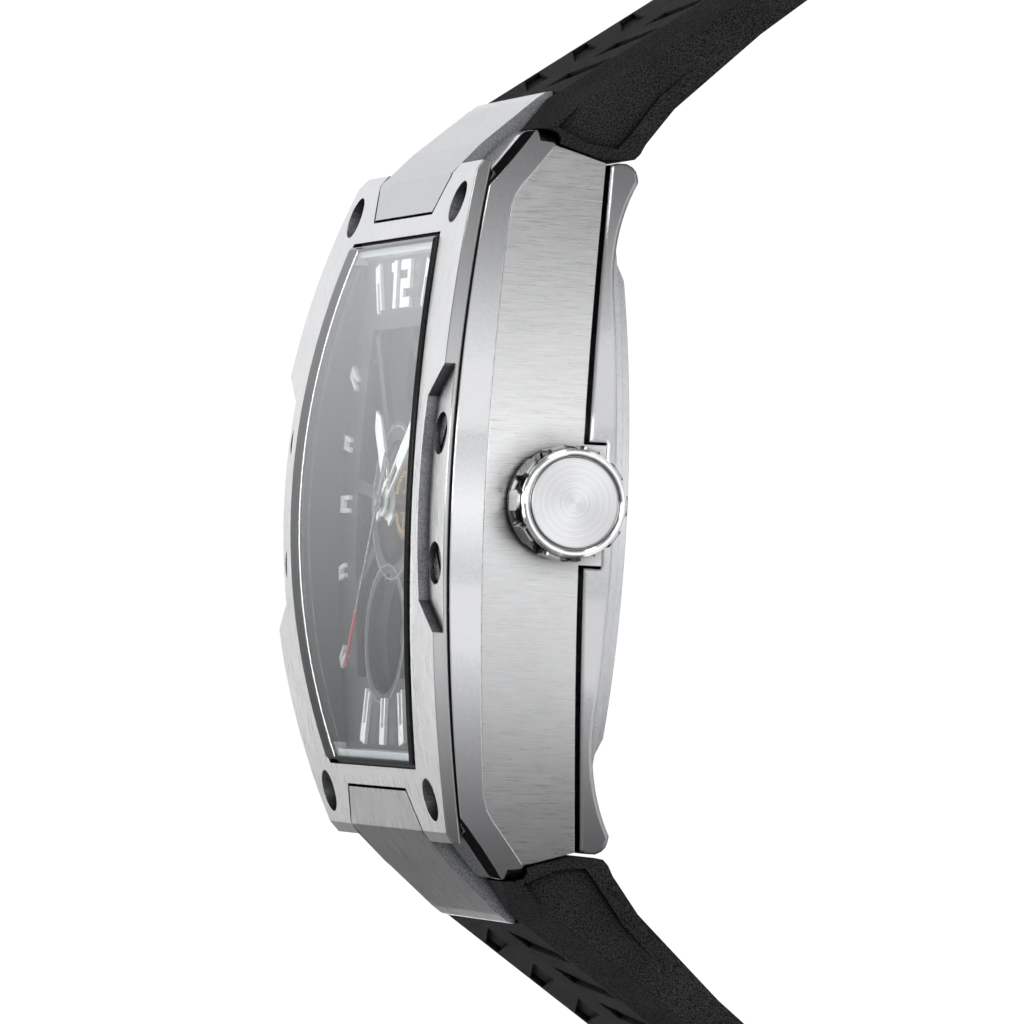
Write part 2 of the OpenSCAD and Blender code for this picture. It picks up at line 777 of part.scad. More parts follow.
module flange() {
  z0 = z_hands + fit;
  color("gray") intersection() {
    difference() {
      plan_block(frame_opening_inset + fit, frame_opening_half_len - fit, z0, z_top);
      intersection() {
        leaning_block(frame_opening_inset + 0.6, frame_opening_inset + 0.3, z0 - 0.1, z_ledge);
        across(3 * case_half_w) polygon([
          [-frame_opening_half_len + 0.7, z0 - 0.1], [frame_opening_half_len - 0.7, z0 - 0.1],
          [frame_opening_half_len - 0.1, z_ledge], [-frame_opening_half_len + 0.1, z_ledge]
        ]);
      }
    }
    across(3 * case_half_w) below(z_ledge - 0.05, front_r);
  }
}

open_ring_r = 4.15;
small_ring_pos = [7.3, -6.2];
small_ring_r = 4.3;

module dial_blank(inset, half_len) {
  linear_extrude(dial_t) plan(frame_opening_inset + inset, frame_opening_half_len - inset);
}

module ring_2d(p, r_out, r_in) {
  translate(p) difference() {
    circle(r = r_out, $fn = round_fn * 2);
    circle(r = r_in, $fn = round_fn * 2);
  }
}

module bar_2d(p, angle, len, w) {
  translate(p) rotate(angle) translate([0, -w / 2]) square([len, w]);
}

// Open-worked dial: an hour band, a ring round the hands, a ring round the
// balance and a ring over the winding side, joined by narrow arms
module dial() {
  color([0.16, 0.16, 0.17]) at(centre, z_dial) linear_extrude(dial_t) difference() {
    union() {
      difference() {
        plan(frame_opening_inset + 0.15, frame_opening_half_len - 0.15);
        plan(frame_opening_inset + 4.4, frame_opening_half_len - 5.6);
      }
      ring_2d(centre, centre_ring_r, centre_ring_r - 1.3);
      ring_2d(balance_pos, open_ring_r + 0.8, open_ring_r);
      ring_2d(small_ring_pos, small_ring_r, small_ring_r - 1);
      for (a = [8, 62, 118, 172, 215]) bar_2d(polar(centre_ring_r - 0.4, a), a, 8, 0.9);
      for (a = [-35, 35]) bar_2d(balance_pos + polar(open_ring_r + 0.3, a - 90), a - 90, 3, 0.9);
    }
    circle(r = centre_ring_r - 1.3, $fn = round_fn * 2);
    translate(balance_pos) circle(r = open_ring_r, $fn = round_fn * 2);
    translate(small_ring_pos) circle(r = small_ring_r - 1, $fn = round_fn * 2);
    for (s = [-1, 1]) translate([s * 11.6, 9.2]) circle(r = 0.5);
  }
}

index_t = 0.25;

// Baton with a solid outer end and two thin rails that point at the middle
module baton(len, w) {
  difference() {
    translate([-w / 2, 0]) square([w, len]);
    translate([-w / 2 + 0.3, -0.1]) square([w - 0.6, len * 0.66]);
  }
}

// Plain numeral of straight strokes, centred on the origin
module one_2d(h, s) {
  translate([-s / 2, -h / 2]) square([s, h]);
  translate([-s * 1.3, h / 2 - s]) square([s * 1.2, s * 0.8]);
}

module two_2d(h, w, s) {
  for (y = [-h / 2, -s / 2, h / 2 - s]) translate([-w / 2, y]) square([w, s]);
  translate([w / 2 - s, 0]) square([s, h / 2]);
  translate([-w / 2, -h / 2]) square([s, h / 2]);
}

module dial_indices() {
  color("white") at(centre, z_hands) linear_extrude(index_t) {
    translate([-1.75, 15]) one_2d(3.3, 0.75);
    translate([0.75, 15]) two_2d(3.3, 2.3, 0.7);
    // Batons at the ends of the dial stand along it, those at the sides across it
    for (s = [-1, 1]) {
      translate([s * 5.2, 13.2]) rotate(-s * 18) baton(3.4, 1.1);
      translate([s * 3.9, -12.9]) rotate(180 + s * 14) baton(3.7, 1.15);
      translate([s * 10.1, 8.3]) rotate(-s * 58) baton(1.8, 1);
      translate([s * 10.1, -10.2]) rotate(180 + s * 48) baton(1.3, 1);
    }
    translate([0, -13.4]) rotate(180) baton(3.2, 1.15);
    translate([-10.6, 0]) rotate(90) baton(2.15, 1.2);
    translate([-11, 4.1]) rotate(80) baton(1.5, 1);
    translate([-11, -4.6]) rotate(100) baton(1.4, 1);
    translate([11.9, 3.6]) rotate(-80) baton(0.7, 1);
  }
}

hand_gap = 0.25;
hand_t = 0.18;
z_hour_hand = z_hands + 0.35;
z_minute_hand = z_hour_hand + hand_t + hand_gap;
z_seconds_hand = z_minute_hand + hand_t + hand_gap;
seconds_arbor_r = 0.16;
cannon_r = seconds_arbor_r + run + 0.19;
hour_pipe_r = cannon_r + run + 0.2;

// Open spear hand of the given length and width, pointing at 12 o'clock
module hand_2d(len, w, slot0, slot1) {
  difference() {
    union() {
      polygon([[-w * 0.32, 0], [w * 0.32, 0], [w / 2, len * 0.45], [w / 2, len * 0.86], [0, len],
               [-w / 2, len * 0.86], [-w / 2, len * 0.45]]);
      polygon([[-w * 0.3, 0], [-w * 0.36, -1.6], [w * 0.36, -1.6], [w * 0.3, 0]]);
    }
    translate([-w / 2 + 0.3, slot0]) square([w - 0.6, slot1 - slot0]);
  }
}

module hour_hand() {
  color("white") at(centre, z_hour_hand) rotate([0, 0, -hour_angle]) difference() {
    linear_extrude(hand_t) {
      hand_2d(hour_len, 1.5, 1.7, 3);
      circle(r = 1.25);
    }
    translate([0, 0, -1]) cylinder(r = hour_pipe_r, h = 3);
  }
}

module minute_hand() {
  color("white") at(centre, z_minute_hand) rotate([0, 0, -minute_angle]) difference() {
    linear_extrude(hand_t) {
      hand_2d(minute_len, 1.3, 1.6, 4);
      circle(r = 1);
    }
    translate([0, 0, -1]) cylinder(r = cannon_r, h = 3);
  }
}

module seconds_hand() {
  color("silver") at(centre, z_seconds_hand) rotate([0, 0, -seconds_angle]) {
    difference() {
      linear_extrude(0.14) {
        polygon([[-0.16, 0], [0.16, 0], [0.09, seconds_len], [-0.09, seconds_len]]);
        polygon([[-0.18, 0], [-0.4, -3.6], [0.4, -3.6], [0.18, 0]]);
        circle(r = 0.7);
      }
      translate([0, 0, -1]) cylinder(r = seconds_arbor_r, h = 1.05);
    }
    translate([0, 0, 0.1]) cylinder(r = 0.42, h = 0.2);
  }
}

// Flat spoked wheel with teeth, centred on the origin
module wheel(n, m, t, spokes, rim, hub_r, bore_r) {
  pitch_r = n * m / 2;
  linear_extrude(t) {
    difference() {
      polygon(gear_points(n, m));
      circle(r = pitch_r - 1.2 * m - rim);
    }
    difference() {
      union() {
        circle(r = hub_r);
        for (i = [0 : spokes - 1]) bar_2d([0, 0], 360 / spokes * i, pitch_r - 1.2 * m - rim / 2, 0.4);
      }
      circle(r = bore_r);
    }
  }
}

module pinion(n, m, t) {
  linear_extrude(t) polygon(gear_points(n, m));
}

// Arbor between a bridge jewel and a plate jewel, with a pivot at each end
module arbor(z0, z1) {
  pillar(arbor_r, z0 + pivot_gap, z1 - pivot_gap);
  pillar(pivot_r, z0 - jewel_t + pivot_gap, z1 + jewel_t - pivot_gap);
}

// Train angles, so that each pair of teeth meshes at rest
second_turn = bearing(second_pos, third_pos);
third_turn = bearing(third_pos, centre);
barrel_turn = bearing(barrel_pos, second_pos);
escape_dir = bearing(centre, escape_pos);
minute_turn = bearing(minute_pos, centre);

module second_wheel() {
  color("goldenrod") at(second_pos, 0) {
    translate([0, 0, z_second]) rotate([0, 0, second_turn])
      wheel(second_n, train_m, wheel_t, 5, 0.45, 0.7, 0.1);
    translate([0, 0, z_barrel_teeth - 0.1])
      rotate([0, 0, mesh_angle(barrel_turn, barrel_turn, barrel_n, second_pinion_n)])
        pinion(second_pinion_n, barrel_m, 0.6);
    pillar(arbor_r, z_train + pivot_gap, z_plate - pivot_gap);
    pillar(pivot_r, z_train - jewel_t + pivot_gap, z_plate);
    pillar(arbor_r - 0.05, z_plate - 0.1, z_motion + 0.2);
    translate([0, 0, z_motion + 0.1])
      rotate([0, 0, mesh_angle(bearing(minute_pos, second_pos), minute_turn, minute_n, cannon_n)])
        pinion(cannon_n, motion_m, 0.3);
  }
}

module third_wheel() {
  color("goldenrod") at(third_pos, 0) {
    translate([0, 0, z_third]) rotate([0, 0, third_turn])
      wheel(third_n, train_m, wheel_t, 5, 0.4, 0.65, 0.1);
    translate([0, 0, z_second - 0.1])
      rotate([0, 0, mesh_angle(bearing(second_pos, third_pos), second_turn, second_n, third_pinion_n)])
        pinion(third_pinion_n, train_m, 0.4);
    arbor(z_train, z_plate);
  }
}

module fourth_wheel() {
  color("goldenrod") {
    translate([0, 0, z_fourth]) rotate([0, 0, escape_dir])
      wheel(fourth_n, fourth_m, wheel_t, 5, 0.4, 0.65, 0.1);
    translate([0, 0, z_third - 0.06])
      rotate([0, 0, mesh_angle(bearing(third_pos, centre), third_turn, third_n, fourth_pinion_n)])
        pinion(fourth_pinion_n, train_m, 0.34);
    pillar(arbor_r, z_train + pivot_gap, z_plate - pivot_gap);
    pillar(pivot_r, z_train - jewel_t + pivot_gap, z_plate);
    pillar(seconds_arbor_r, z_plate - 0.2, z_seconds_hand + 0.05);
  }
}

// Fifteen club teeth leaning with the turn
function escape_points() = [
  for (i = [0 : escape_n - 1])
    for (q = [[0, 0.72], [0.16, 0.78], [0.5, 0.97], [0.62, 1], [0.74, 0.95], [0.62, 0.78], [0.7, 0.72]])
      polar(escape_r * q[1], 360 / escape_n * (i + q[0]))
];

module escape_wheel() {
  color("lightsteelblue") at(escape_pos, 0) {
    translate([0, 0, z_escape]) linear_extrude(wheel_t) {
      difference() {
        polygon(escape_points());
        circle(r = escape_r * 0.6);
      }
      for (i = [0 : 3]) bar_2d([0, 0], 90 * i, escape_r * 0.66, 0.28);
      circle(r = 0.45);
    }
    translate([0, 0, z_fourth - 0.06])
      rotate([0, 0, mesh_angle(escape_dir, escape_dir, fourth_n, escape_pinion_n)])
        pinion(escape_pinion_n, fourth_m, 0.45);
    arbor(z_train, z_plate);
  }
}

// Lever with two arms that carry the pallet stones and a notched fork
module pallet_fork() {
  reach = norm(balance_pos - pallet_pos) - 0.72;
  stone_r = escape_r + 0.08;
  color("silver") at(pallet_pos, 0) rotate([0, 0, bearing(pallet_pos, balance_pos)]) {
    translate([0, 0, z_fork]) linear_extrude(wheel_t) difference() {
      union() {
        polygon([[-0.25, -0.24], [reach - 0.55, -0.16], [reach, -0.62], [reach, 0.62],
                 [reach - 0.55, 0.16], [-0.25, 0.24]]);
        for (s = [-1, 1])
          polygon([[0.28, 0], [-0.5, s * 1.5], [-0.86, s * 1.42], [-0.36, 0]]);
        circle(r = 0.5);
      }
      translate([reach - 0.45, -0.34]) square([1, 0.68]);
      circle(r = 0.1);
    }
    arbor(z_pallets, z_plate);
  }
}

module balance_wheel() {
  roller_reach = 0.5;
  color("goldenrod") at(balance_pos, 0) {
    translate([0, 0, z_balance]) difference() {
      union() {
        linear_extrude(0.4) difference() {
          circle(r = balance_r, $fn = round_fn * 2);
          circle(r = balance_r - 0.55, $fn = round_fn * 2);
        }
        translate([0, 0, 0.1]) linear_extrude(wheel_t) {
          for (a = [90, 210, 330]) bar_2d([0, 0], a, balance_r - 0.2, 0.4);
          circle(r = 0.65);
        }
      }
      for (a = [30 : 60 : 330]) rotate([0, 0, a]) translate([balance_r - 0.27, 0, -1])
        cylinder(r = 0.14, h = 3, $fn = round_fn / 2);
    }
    translate([0, 0, z_fork - 0.22]) cylinder(r = 0.75, h = 0.14);
    at(polar(roller_reach, bearing(balance_pos, pallet_pos)), z_fork - 0.15)
      cylinder(r = 0.1, h = wheel_t + 0.2, $fn = round_fn / 2);
    translate([0, 0, z_hairspring]) cylinder(r = 0.5, h = 0.2);
    arbor(z_train, z_plate);
  }
}

module hairspring() {
  color("steelblue") at(balance_pos, z_hairspring) {
    linear_extrude(0.2) polygon(spiral_points(0.56, 2.5, 8, 0.06, 192));
    translate([2.56, 0, 0]) linear_extrude(0.2) translate([-0.1, -0.25]) square([0.4, 0.5]);
    at([2.66, 0], -0.25) cylinder(r = 0.2, h = 0.45, $fn = round_fn / 2);
  }
}

module barrel() {
  color("goldenrod") at(barrel_pos, 0) rotate([0, 0, barrel_turn]) {
    difference() {
      union() {
        pillar(barrel_n * barrel_m / 2 - 1.2 * barrel_m, z_barrel, z_barrel + barrel_h);
        translate([0, 0, z_barrel_teeth]) pinion(barrel_n, barrel_m, 0.35);
      }
      translate([0, 0, z_barrel + 0.2])
        cylinder(r = barrel_n * barrel_m / 2 - 0.6, h = barrel_h - 0.4, $fn = round_fn * 2);
      pillar(0.75 + run, z_barrel - 1, z_barrel + barrel_h + 1);
      // Openings in the drum's two faces show the coiled spring
      for (a = [0 : 60 : 300]) rotate([0, 0, a]) translate([3.1, 0, z_barrel - 1])
        cylinder(r = 1.05, h = barrel_h + 2);
    }
  }
}

module mainspring() {
  color("steelblue") at(barrel_pos, z_barrel + 0.25) {
    linear_extrude(barrel_h - 0.5) polygon(spiral_points(1, 4.4, 9, 0.16, 216));
  }
}

module ratchet_wheel() {
  color("silver") at(barrel_pos, 0) {
    translate([0, 0, z_winding]) rotate([0, 0, bearing(barrel_pos, crown_wheel_pos)])
      wheel(ratchet_n, winding_m, winding_t - 0.15, 6, 1, 1.2, 0.1);
    pillar(0.75, z_winding + 0.1, z_plate + 0.3);
    pillar(0.5, z_plate, z_plate + 0.9);
  }
}

module crown_wheel() {
  dir = bearing(barrel_pos, crown_wheel_pos);
  color("silver") at(crown_wheel_pos, 0) {
    translate([0, 0, z_winding])
      rotate([0, 0, mesh_angle(dir, dir, ratchet_n, crown_wheel_n)])
        wheel(crown_wheel_n, winding_m, winding_t - 0.15, 5, 0.9, 1.1, 0.1);
    pillar(0.5, z_winding + 0.1, z_train - 0.05);
  }
}

module cannon_pinion() {
  color("silver") {
    translate([0, 0, z_motion + 0.1])
      rotate([0, 0, mesh_angle(minute_turn, minute_turn, minute_n, cannon_n)]) difference() {
        pinion(cannon_n, motion_m, 0.3);
        translate([0, 0, -1]) cylinder(r = seconds_arbor_r + run, h = 3);
      }
    translate([0, 0, z_motion + 0.05]) tube(cannon_r, seconds_arbor_r + run, z_minute_hand + hand_t - z_motion);
  }
}

module minute_wheel() {
  color("goldenrod") at(minute_pos, 0) {
    translate([0, 0, z_motion + 0.12]) rotate([0, 0, minute_turn])
      wheel(minute_n, motion_m, 0.2, 4, 0.35, 0.75, 0.1);
    translate([0, 0, z_motion + 0.3]) rotate([0, 0, minute_turn]) pinion(minute_pinion_n, hour_m, 0.4);
    pillar(0.25, z_plate + 0.5, z_motion + 0.4);
  }
}

module hour_wheel() {
  color("goldenrod") {
    translate([0, 0, z_motion + 0.5])
      rotate([0, 0, mesh_angle(minute_turn, minute_turn, minute_pinion_n, hour_n)]) difference() {
        wheel(hour_n, hour_m, 0.18, 4, 0.4, 1, 0.1);
        translate([0, 0, -1]) cylinder(r = cannon_r + run, h = 3);
      }
    translate([0, 0, z_motion + 0.5])
      tube(hour_pipe_r, cannon_r + run, z_hour_hand + hand_t - z_motion - 0.5);
  }
}

jewel_places = [second_pos, third_pos, centre, escape_pos, balance_pos];

module jewels() {
  color("crimson") {
    for (p = [third_pos, escape_pos, balance_pos, pallet_pos])
      at(p, z_plate) tube(jewel_r, pivot_r + run, jewel_t);
    for (p = jewel_places) at(p, z_train - jewel_t) tube(jewel_r, pivot_r + run, jewel_t);
    at(pallet_pos, z_pallets - jewel_t) tube(0.5, pivot_r + run, jewel_t);
    at(centre, z_plate) tube(jewel_r, seconds_arbor_r + run, jewel_t);
    at(second_pos, z_plate) tube(jewel_r, arbor_r - 0.05 + run, jewel_t);
  }
}

// Foot of a bridge: a block along the rim of the movement
module foot(a0, a1, z0, z1) {
  translate([0, 0, z0]) rotate([0, 0, a0]) rotate_extrude(angle = a1 - a0, $fn = arc_fn)
    translate([movement_r - 1.95, 0]) square([1.6, z1 - z0]);
}

module mainplate() {
  color([0.25, 0.25, 0.27]) difference() {
    pillar(movement_r, z_plate, z_motion);
    // Open work over the barrel, the wheels, the winding side and the balance
    at(barrel_pos, 0) difference() {
      pillar(4.4, 0, z_top);
      pillar(1.5, -1, z_top + 1);
      for (a = [30, 150, 270]) rotate([0, 0, a]) translate([0, -0.5, -1]) cube([6, 1, z_top + 2]);
    }
    at(balance_pos, 0) difference() {
      pillar(open_ring_r + 0.1, 0, z_top);
      pillar(1, -1, z_top + 1);
      translate([-0.5, -6, -1]) cube([1, 6, z_top + 2]);
    }
    for (a = [[158, 186], [194, 226], [312, 350]]) translate([0, 0, 0]) rotate([0, 0, a[0]])
      rotate_extrude(angle = a[1] - a[0], $fn = arc_fn) translate([8.4, 0]) square([4.2, z_top]);
    at([5.6, -3.4], 0) pillar(2.3, 0, z_top);
    for (p = [third_pos, escape_pos, balance_pos, pallet_pos, centre, second_pos])
      at(p, 0) pillar(jewel_r + fit, z_plate - 1, z_plate + jewel_t + fit);
    at(centre, 0) pillar(seconds_arbor_r + run + 0.05, 0, z_top);
    at(second_pos, 0) pillar(arbor_r + run, 0, z_top);
    for (p = [third_pos, escape_pos, balance_pos, pallet_pos]) at(p, 0) pillar(pivot_r + 0.1, 0, z_top);
    at(minute_pos, 0) pillar(0.25 + run, z_plate + 0.4, z_top);
    at(barrel_pos, 0) pillar(0.75 + run, 0, z_plate + 0.35);
    at(barrel_pos, 0) pillar(0.5 + run, 0, z_top);
    plate_screw_holes(screw_m_r + fit);
    // Channel for the winding pinion
    translate([winding_x - 1.3, -1.7, z_plate - 1]) cube([3.8, 3.4, 1.3]);
  }
}

screw_m_r = 0.4;

module plate_screw_holes(r) {
  for (p = plate_screws) at(p, z_plate - 1) cylinder(r = r, h = 1.8, $fn = round_fn / 2);
}

plate_screws = [polar(movement_r - 1.25, 30), polar(movement_r - 1.25, 44), polar(movement_r - 1.25, 122),
                polar(movement_r - 1.25, 168), polar(movement_r - 1.25, 192), polar(movement_r - 1.25, 236)];

module bridge_holes() {
  for (p = plate_screws) at(p, z_bridge - 1) cylinder(r = screw_m_r + fit, h = 9, $fn = round_fn / 2);
  for (p = plate_screws) at(p, z_bridge - 1) cylinder(r = 0.75, h = 1.3, $fn = round_fn / 2);
}

module barrel_bridge() {
  color([0.3, 0.3, 0.32]) difference() {
    union() {
      translate([0, 0, z_bridge]) linear_extrude(bridge_t) intersection() {
        circle(r = movement_r - 0.3, $fn = arc_fn);
        polygon([[-9, 9.6], [-4.6, 8], [-0.9, 6.5], [1.4, 2.6], [3.2, 1.8], [15, 1.8], [15, 15], [-9, 15]]);
      }
      foot(22, 52, z_bridge + 0.1, z_plate);
      foot(112, 128, z_bridge + 0.1, z_plate);
    }
    bridge_holes();
    at(barrel_pos, 0) pillar(0.75 + run, 0, z_top);
    at(crown_wheel_pos, 0) pillar(0.5 + run, 0, z_top);
    at(crown_wheel_pos, 0) pillar(crown_wheel_r + 0.35, 0, z_winding + winding_t);
    at(barrel_pos, 0) pillar(ratchet_r + 0.35, 0, z_winding + winding_t);
    // Windows over the barrel
    for (a = [30 : 60 : 330]) at(barrel_pos + polar(3.1, a), 0) pillar(1, 0, z_top);
  }
}

module train_bridge() {
  color([0.3, 0.3, 0.32]) difference() {
    union() {
      translate([0, 0, z_bridge]) linear_extrude(bridge_t) intersection() {
        circle(r = movement_r - 0.3, $fn = arc_fn);
        union() {
          for (p = [centre, second_pos, third_pos, escape_pos]) translate(p) circle(r = 1.35);
          bar_2d(centre, bearing(centre, second_pos), 5, 1.9);
          bar_2d(escape_pos, bearing(escape_pos, third_pos), 4.4, 1.9);
          bar_2d(centre, bearing(centre, third_pos), 4, 2.2);
          bar_2d(third_pos, 172, 11, 3.4);
          bar_2d(second_pos, 180, 11, 2.2);
          bar_2d(centre, -110, 3.4, 2.2);
          difference() {
            circle(r = movement_r - 0.3, $fn = arc_fn);
            circle(r = movement_r - 2.6, $fn = arc_fn);
            rotate(202) translate([-20, 0]) square([40, 40]);
            rotate(158) translate([-20, -40]) square([40, 40]);
          }
        }
      }
      foot(160, 200, z_bridge + 0.1, z_plate);
    }
    bridge_holes();
    for (p = jewel_places) at(p, 0) pillar(jewel_r + fit, z_train - jewel_t - fit, z_top);
    for (p = jewel_places) at(p, 0) pillar(pivot_r + 0.1, z_train - jewel_t - 1, z_top);
    at(centre, 0) pillar(post_r + fit, 0, z_bridge + 0.15);
  }
}

module balance_cock() {
  color([0.3, 0.3, 0.32]) difference() {
    union() {
      translate([0, 0, z_bridge]) linear_extrude(bridge_t) intersection() {
        circle(r = movement_r - 0.3, $fn = arc_fn);
        union() {
          translate(balance_pos) circle(r = 1.5);
          bar_2d(balance_pos, bearing(balance_pos, polar(13.6, 236)), 8, 2.6);
          bar_2d(balance_pos, 0, 3.2, 1.4);
          rotate(236) translate([12.6, -2.4]) square([3, 4.8]);
        }
      }
      foot(228, 244, z_bridge + 0.1, z_plate);
    }
    bridge_holes();
    at(balance_pos, 0) pillar(jewel_r + fit, z_train - jewel_t - fit, z_top);
    at(balance_pos, 0) pillar(pivot_r + 0.1, 0, z_top);
    at(balance_pos + [2.66, 0], 0) pillar(0.2 + fit, z_train - 0.12, z_top);
  }
}

module pallet_bridge() {
  color("silver") difference() {
    union() {
      at(pallet_pos, z_pallets - jewel_t) linear_extrude(jewel_t) {
        circle(r = 0.85);
        bar_2d([0, 0], 180, 5, 1.1);
      }
      at(pallet_pos + [-4.6, 0], 0) pillar(0.6, z_pallets - jewel_t, z_plate);
    }
    at(pallet_pos, 0) pillar(0.5 + fit, 0, z_top);
  }
}

module movement_screws() {
  color("lightsteelblue") for (p = plate_screws) at(p, 0) difference() {
    union() {
      pillar(screw_m_r, z_bridge + 0.1, z_plate + 0.75);
      pillar(0.7, z_bridge - 0.1, z_bridge + 0.3);
    }
    translate([-1, -0.1, z_bridge - 0.3]) cube([2, 0.2, 0.35]);
  }
}

module movement_ring() {
  color("dimgray") difference() {
    union() {
      plan_block(case_wall + fit, cavity_half_len - fit, z_bridge, z_plate + 0.9);
      plan_block(frame_opening_inset + 0.3, frame_opening_half_len - 0.3, z_plate + 0.8, z_dial - fit);
    }
    pillar(movement_r + fit, 0, z_top);
    translate([0, 0, crown_z]) rotate([0, 90, 0]) cylinder(r = tube_d / 2 + 0.15, h = 3 * movement_r);
  }
}

winding_x = crown_wheel_pos.x;
tube_out = 0.75;
crown_x = case_half_w + 0.3;

module winding_pinion() {
  color("silver") translate([winding_x - 0.45, 0, crown_z]) rotate([0, 90, 0]) difference() {
    union() {
      pinion(winding_pinion_n, winding_m, 0.9);
      cylinder(r = 0.8, h = 2);
    }
    translate([0, 0, -1]) cylinder(r = stem_d / 2 + run, h = 5);
  }
}

module winding_stem() {
  color("silver") translate([0, 0, crown_z]) rotate([0, 90, 0]) difference() {
    translate([0, 0, winding_x - 1.6]) cylinder(r = stem_d / 2, h = crown_x + 1.2 - winding_x + 1.6);
    translate([0, 0, winding_x + 3.6]) tube(2, stem_d / 2 - 0.18, 0.6);
  }
}

module crown() {
  cap = 0.35;
  color("silver") translate([crown_x, 0, crown_z]) rotate([0, 90, 0]) difference() {
    union() {
      cylinder(r1 = crown_d / 2 - 0.15, r2 = crown_d / 2, h = 0.3, $fn = round_fn * 2);
      translate([0, 0, 0.3]) cylinder(r = crown_d / 2, h = 0.5, $fn = round_fn * 2);
      difference() {
        translate([0, 0, 0.8]) cylinder(r1 = crown_d / 2, r2 = crown_d / 2 - 0.28, h = crown_len - 0.8 - cap, $fn = round_fn * 2);
        for (i = [0 : crown_flutes - 1]) rotate([0, 0, 360 / crown_flutes * i])
          translate([crown_d / 2 + 0.12, 0, 0.9]) cylinder(r = 0.62, h = crown_len - 1.4, $fn = round_fn / 2);
      }
      translate([0, 0, crown_len - cap]) cylinder(r1 = crown_d / 2 - 0.28, r2 = crown_d / 2 - 0.5, h = cap, $fn = round_fn * 2);
    }
    // Shallow turned disc in the face, and the hollow that covers the tube
    translate([0, 0, crown_len - 0.12]) cylinder(r = crown_d / 2 - 0.92, h = 1, $fn = round_fn * 2);
    translate([0, 0, -1]) cylinder(r = tube_d / 2 + 0.45, h = 2.3);
    cylinder(r = stem_d / 2, h = 1.2 + 1);
  }
}

module crown_tube() {
  x0 = case_half_w - case_wall + 0.1;
  color("silver") translate([x0, 0, crown_z]) rotate([0, 90, 0])
    tube(tube_d / 2, stem_d / 2 + run, crown_x + tube_out - x0);
}

module crown_gasket() {
  color("black") translate([crown_x + tube_out - 0.6, 0, crown_z]) rotate([0, 90, 0])
    tube(tube_d / 2 + 0.4, tube_d / 2 + fit, 0.4);
}

post_r = 0.9;

module rotor() {
  color([0.35, 0.35, 0.37]) difference() {
    union() {
      translate([0, 0, z_rotor]) rotate([0, 0, 195]) rotate_extrude(angle = 170, $fn = arc_fn)
        polygon([[rotor_r - 3.2, 0.25], [rotor_r - 0.3, 0.25], [rotor_r, 0.5], [rotor_r, rotor_t],
                 [rotor_r - 3.2, rotor_t]]);
      translate([0, 0, z_rotor + rotor_t - 0.55]) linear_extrude(0.45) {
        circle(r = 2.6);
        for (a = [200, 250, 290, 340]) bar_2d([0, 0], a, rotor_r - 2.6, 1.4);
        difference() {
          ring_2d(centre, 7.2, 6.2);
          translate([-20, -1]) square([40, 40]);
        }
      }
      pillar(2.8, z_rotor + 0.2, z_rotor + rotor_t + 0.1);
    }
    pillar(ball_track_r + ball_r + fit, -1, z_top);
  }
}

// Inner race on the post that carries the rotor, with its balls
module rotor_bearing() {
  color("silver") {
    pillar(post_r, z_rotor + 0.3, z_bridge + 0.15 - fit);
    pillar(ball_track_r - ball_r - fit, z_rotor + 0.1, z_rotor + 1);
    at(centre, z_rotor + 0.6) for (i = [0 : 6]) rotate([0, 0, 360 / 7 * i]) translate([ball_track_r, 0, 0])
      sphere(r = ball_r, $fn = 24);
  }
}

ball_r = 0.28;
ball_track_r = 1.6;

module caseback() {
  color("silver") difference() {
    union() {
      intersection() {
        plan_block(back_inset, cavity_half_len + 0.6, 0, z_flange + 0.1);
        across(3 * case_half_w) polygon([
          [-15.8, 0], [15.8, 0], [cavity_half_len + 0.6, 1.2], [cavity_half_len + 0.6, z_rear],
          [-cavity_half_len - 0.6, z_rear], [-cavity_half_len - 0.6, 1.2]
        ]);
      }
      plan_block(back_flange_inset, cavity_half_len + 1.5, z_flange, z_rear);
      plan_block(case_wall + 0.8 + fit, cavity_half_len - 0.8 - fit, z_rear - 0.1, z_band);
    }
    pillar(window_r + 0.9, z_flange + 0.4, z_top);
    pillar(movement_r - 0.6, z_rear - 0.05, z_top);
    pillar(window_r - 0.6, -1, z_top);
    pillar(window_r, 0.35, z_top);
    at_back_screws() pillar(back_screw_d / 2 + fit, -1, z_top);
    at_back_screws() pillar(back_screw_d / 2 + 0.45, -1, z_flange + 0.5);
  }
}

module caseback_crystal() {
  color("lightcyan", 0.35) {
    pillar(window_r - 0.15, 0.36, z_flange + 0.4);
    // Stepped face, flush with the plate that holds it
    pillar(window_r - 0.6 - fit, 0, 0.5);
  }
}

module caseback_gasket() {
  color("black") translate([0, 0, 0.5]) tube(window_r - fit / 2, window_r - 0.13, z_flange - 0.2);
}

module caseback_screws() {
  color("gray") at_back_screws() difference() {
    union() {
      pillar(back_screw_d / 2, z_flange + 0.4, z_band - 0.3);
      pillar(back_screw_d / 2 + 0.35, z_flange + 0.05, z_flange + 0.5);
    }
    translate([-1, -0.12, z_flange - 0.1]) cube([2, 0.24, 0.35]);
  }
}

module strap_bar_hole() {
  translate([-tongue_half_w - 3, bar_root.x, bar_root.y]) rotate([0, 90, 0])
    cylinder(r = 0.7 + fit, h = 2 * tongue_half_w + 6);
}

bar_root = [cavity_half_len + 3.5, z_band + 2.4];

module strap_bars() {
  color("silver") both_ends() translate([-tongue_half_w - 2.9, bar_root.x, bar_root.y]) rotate([0, 90, 0])
    cylinder(r = 0.7, h = 2 * tongue_half_w + 5.8);
}

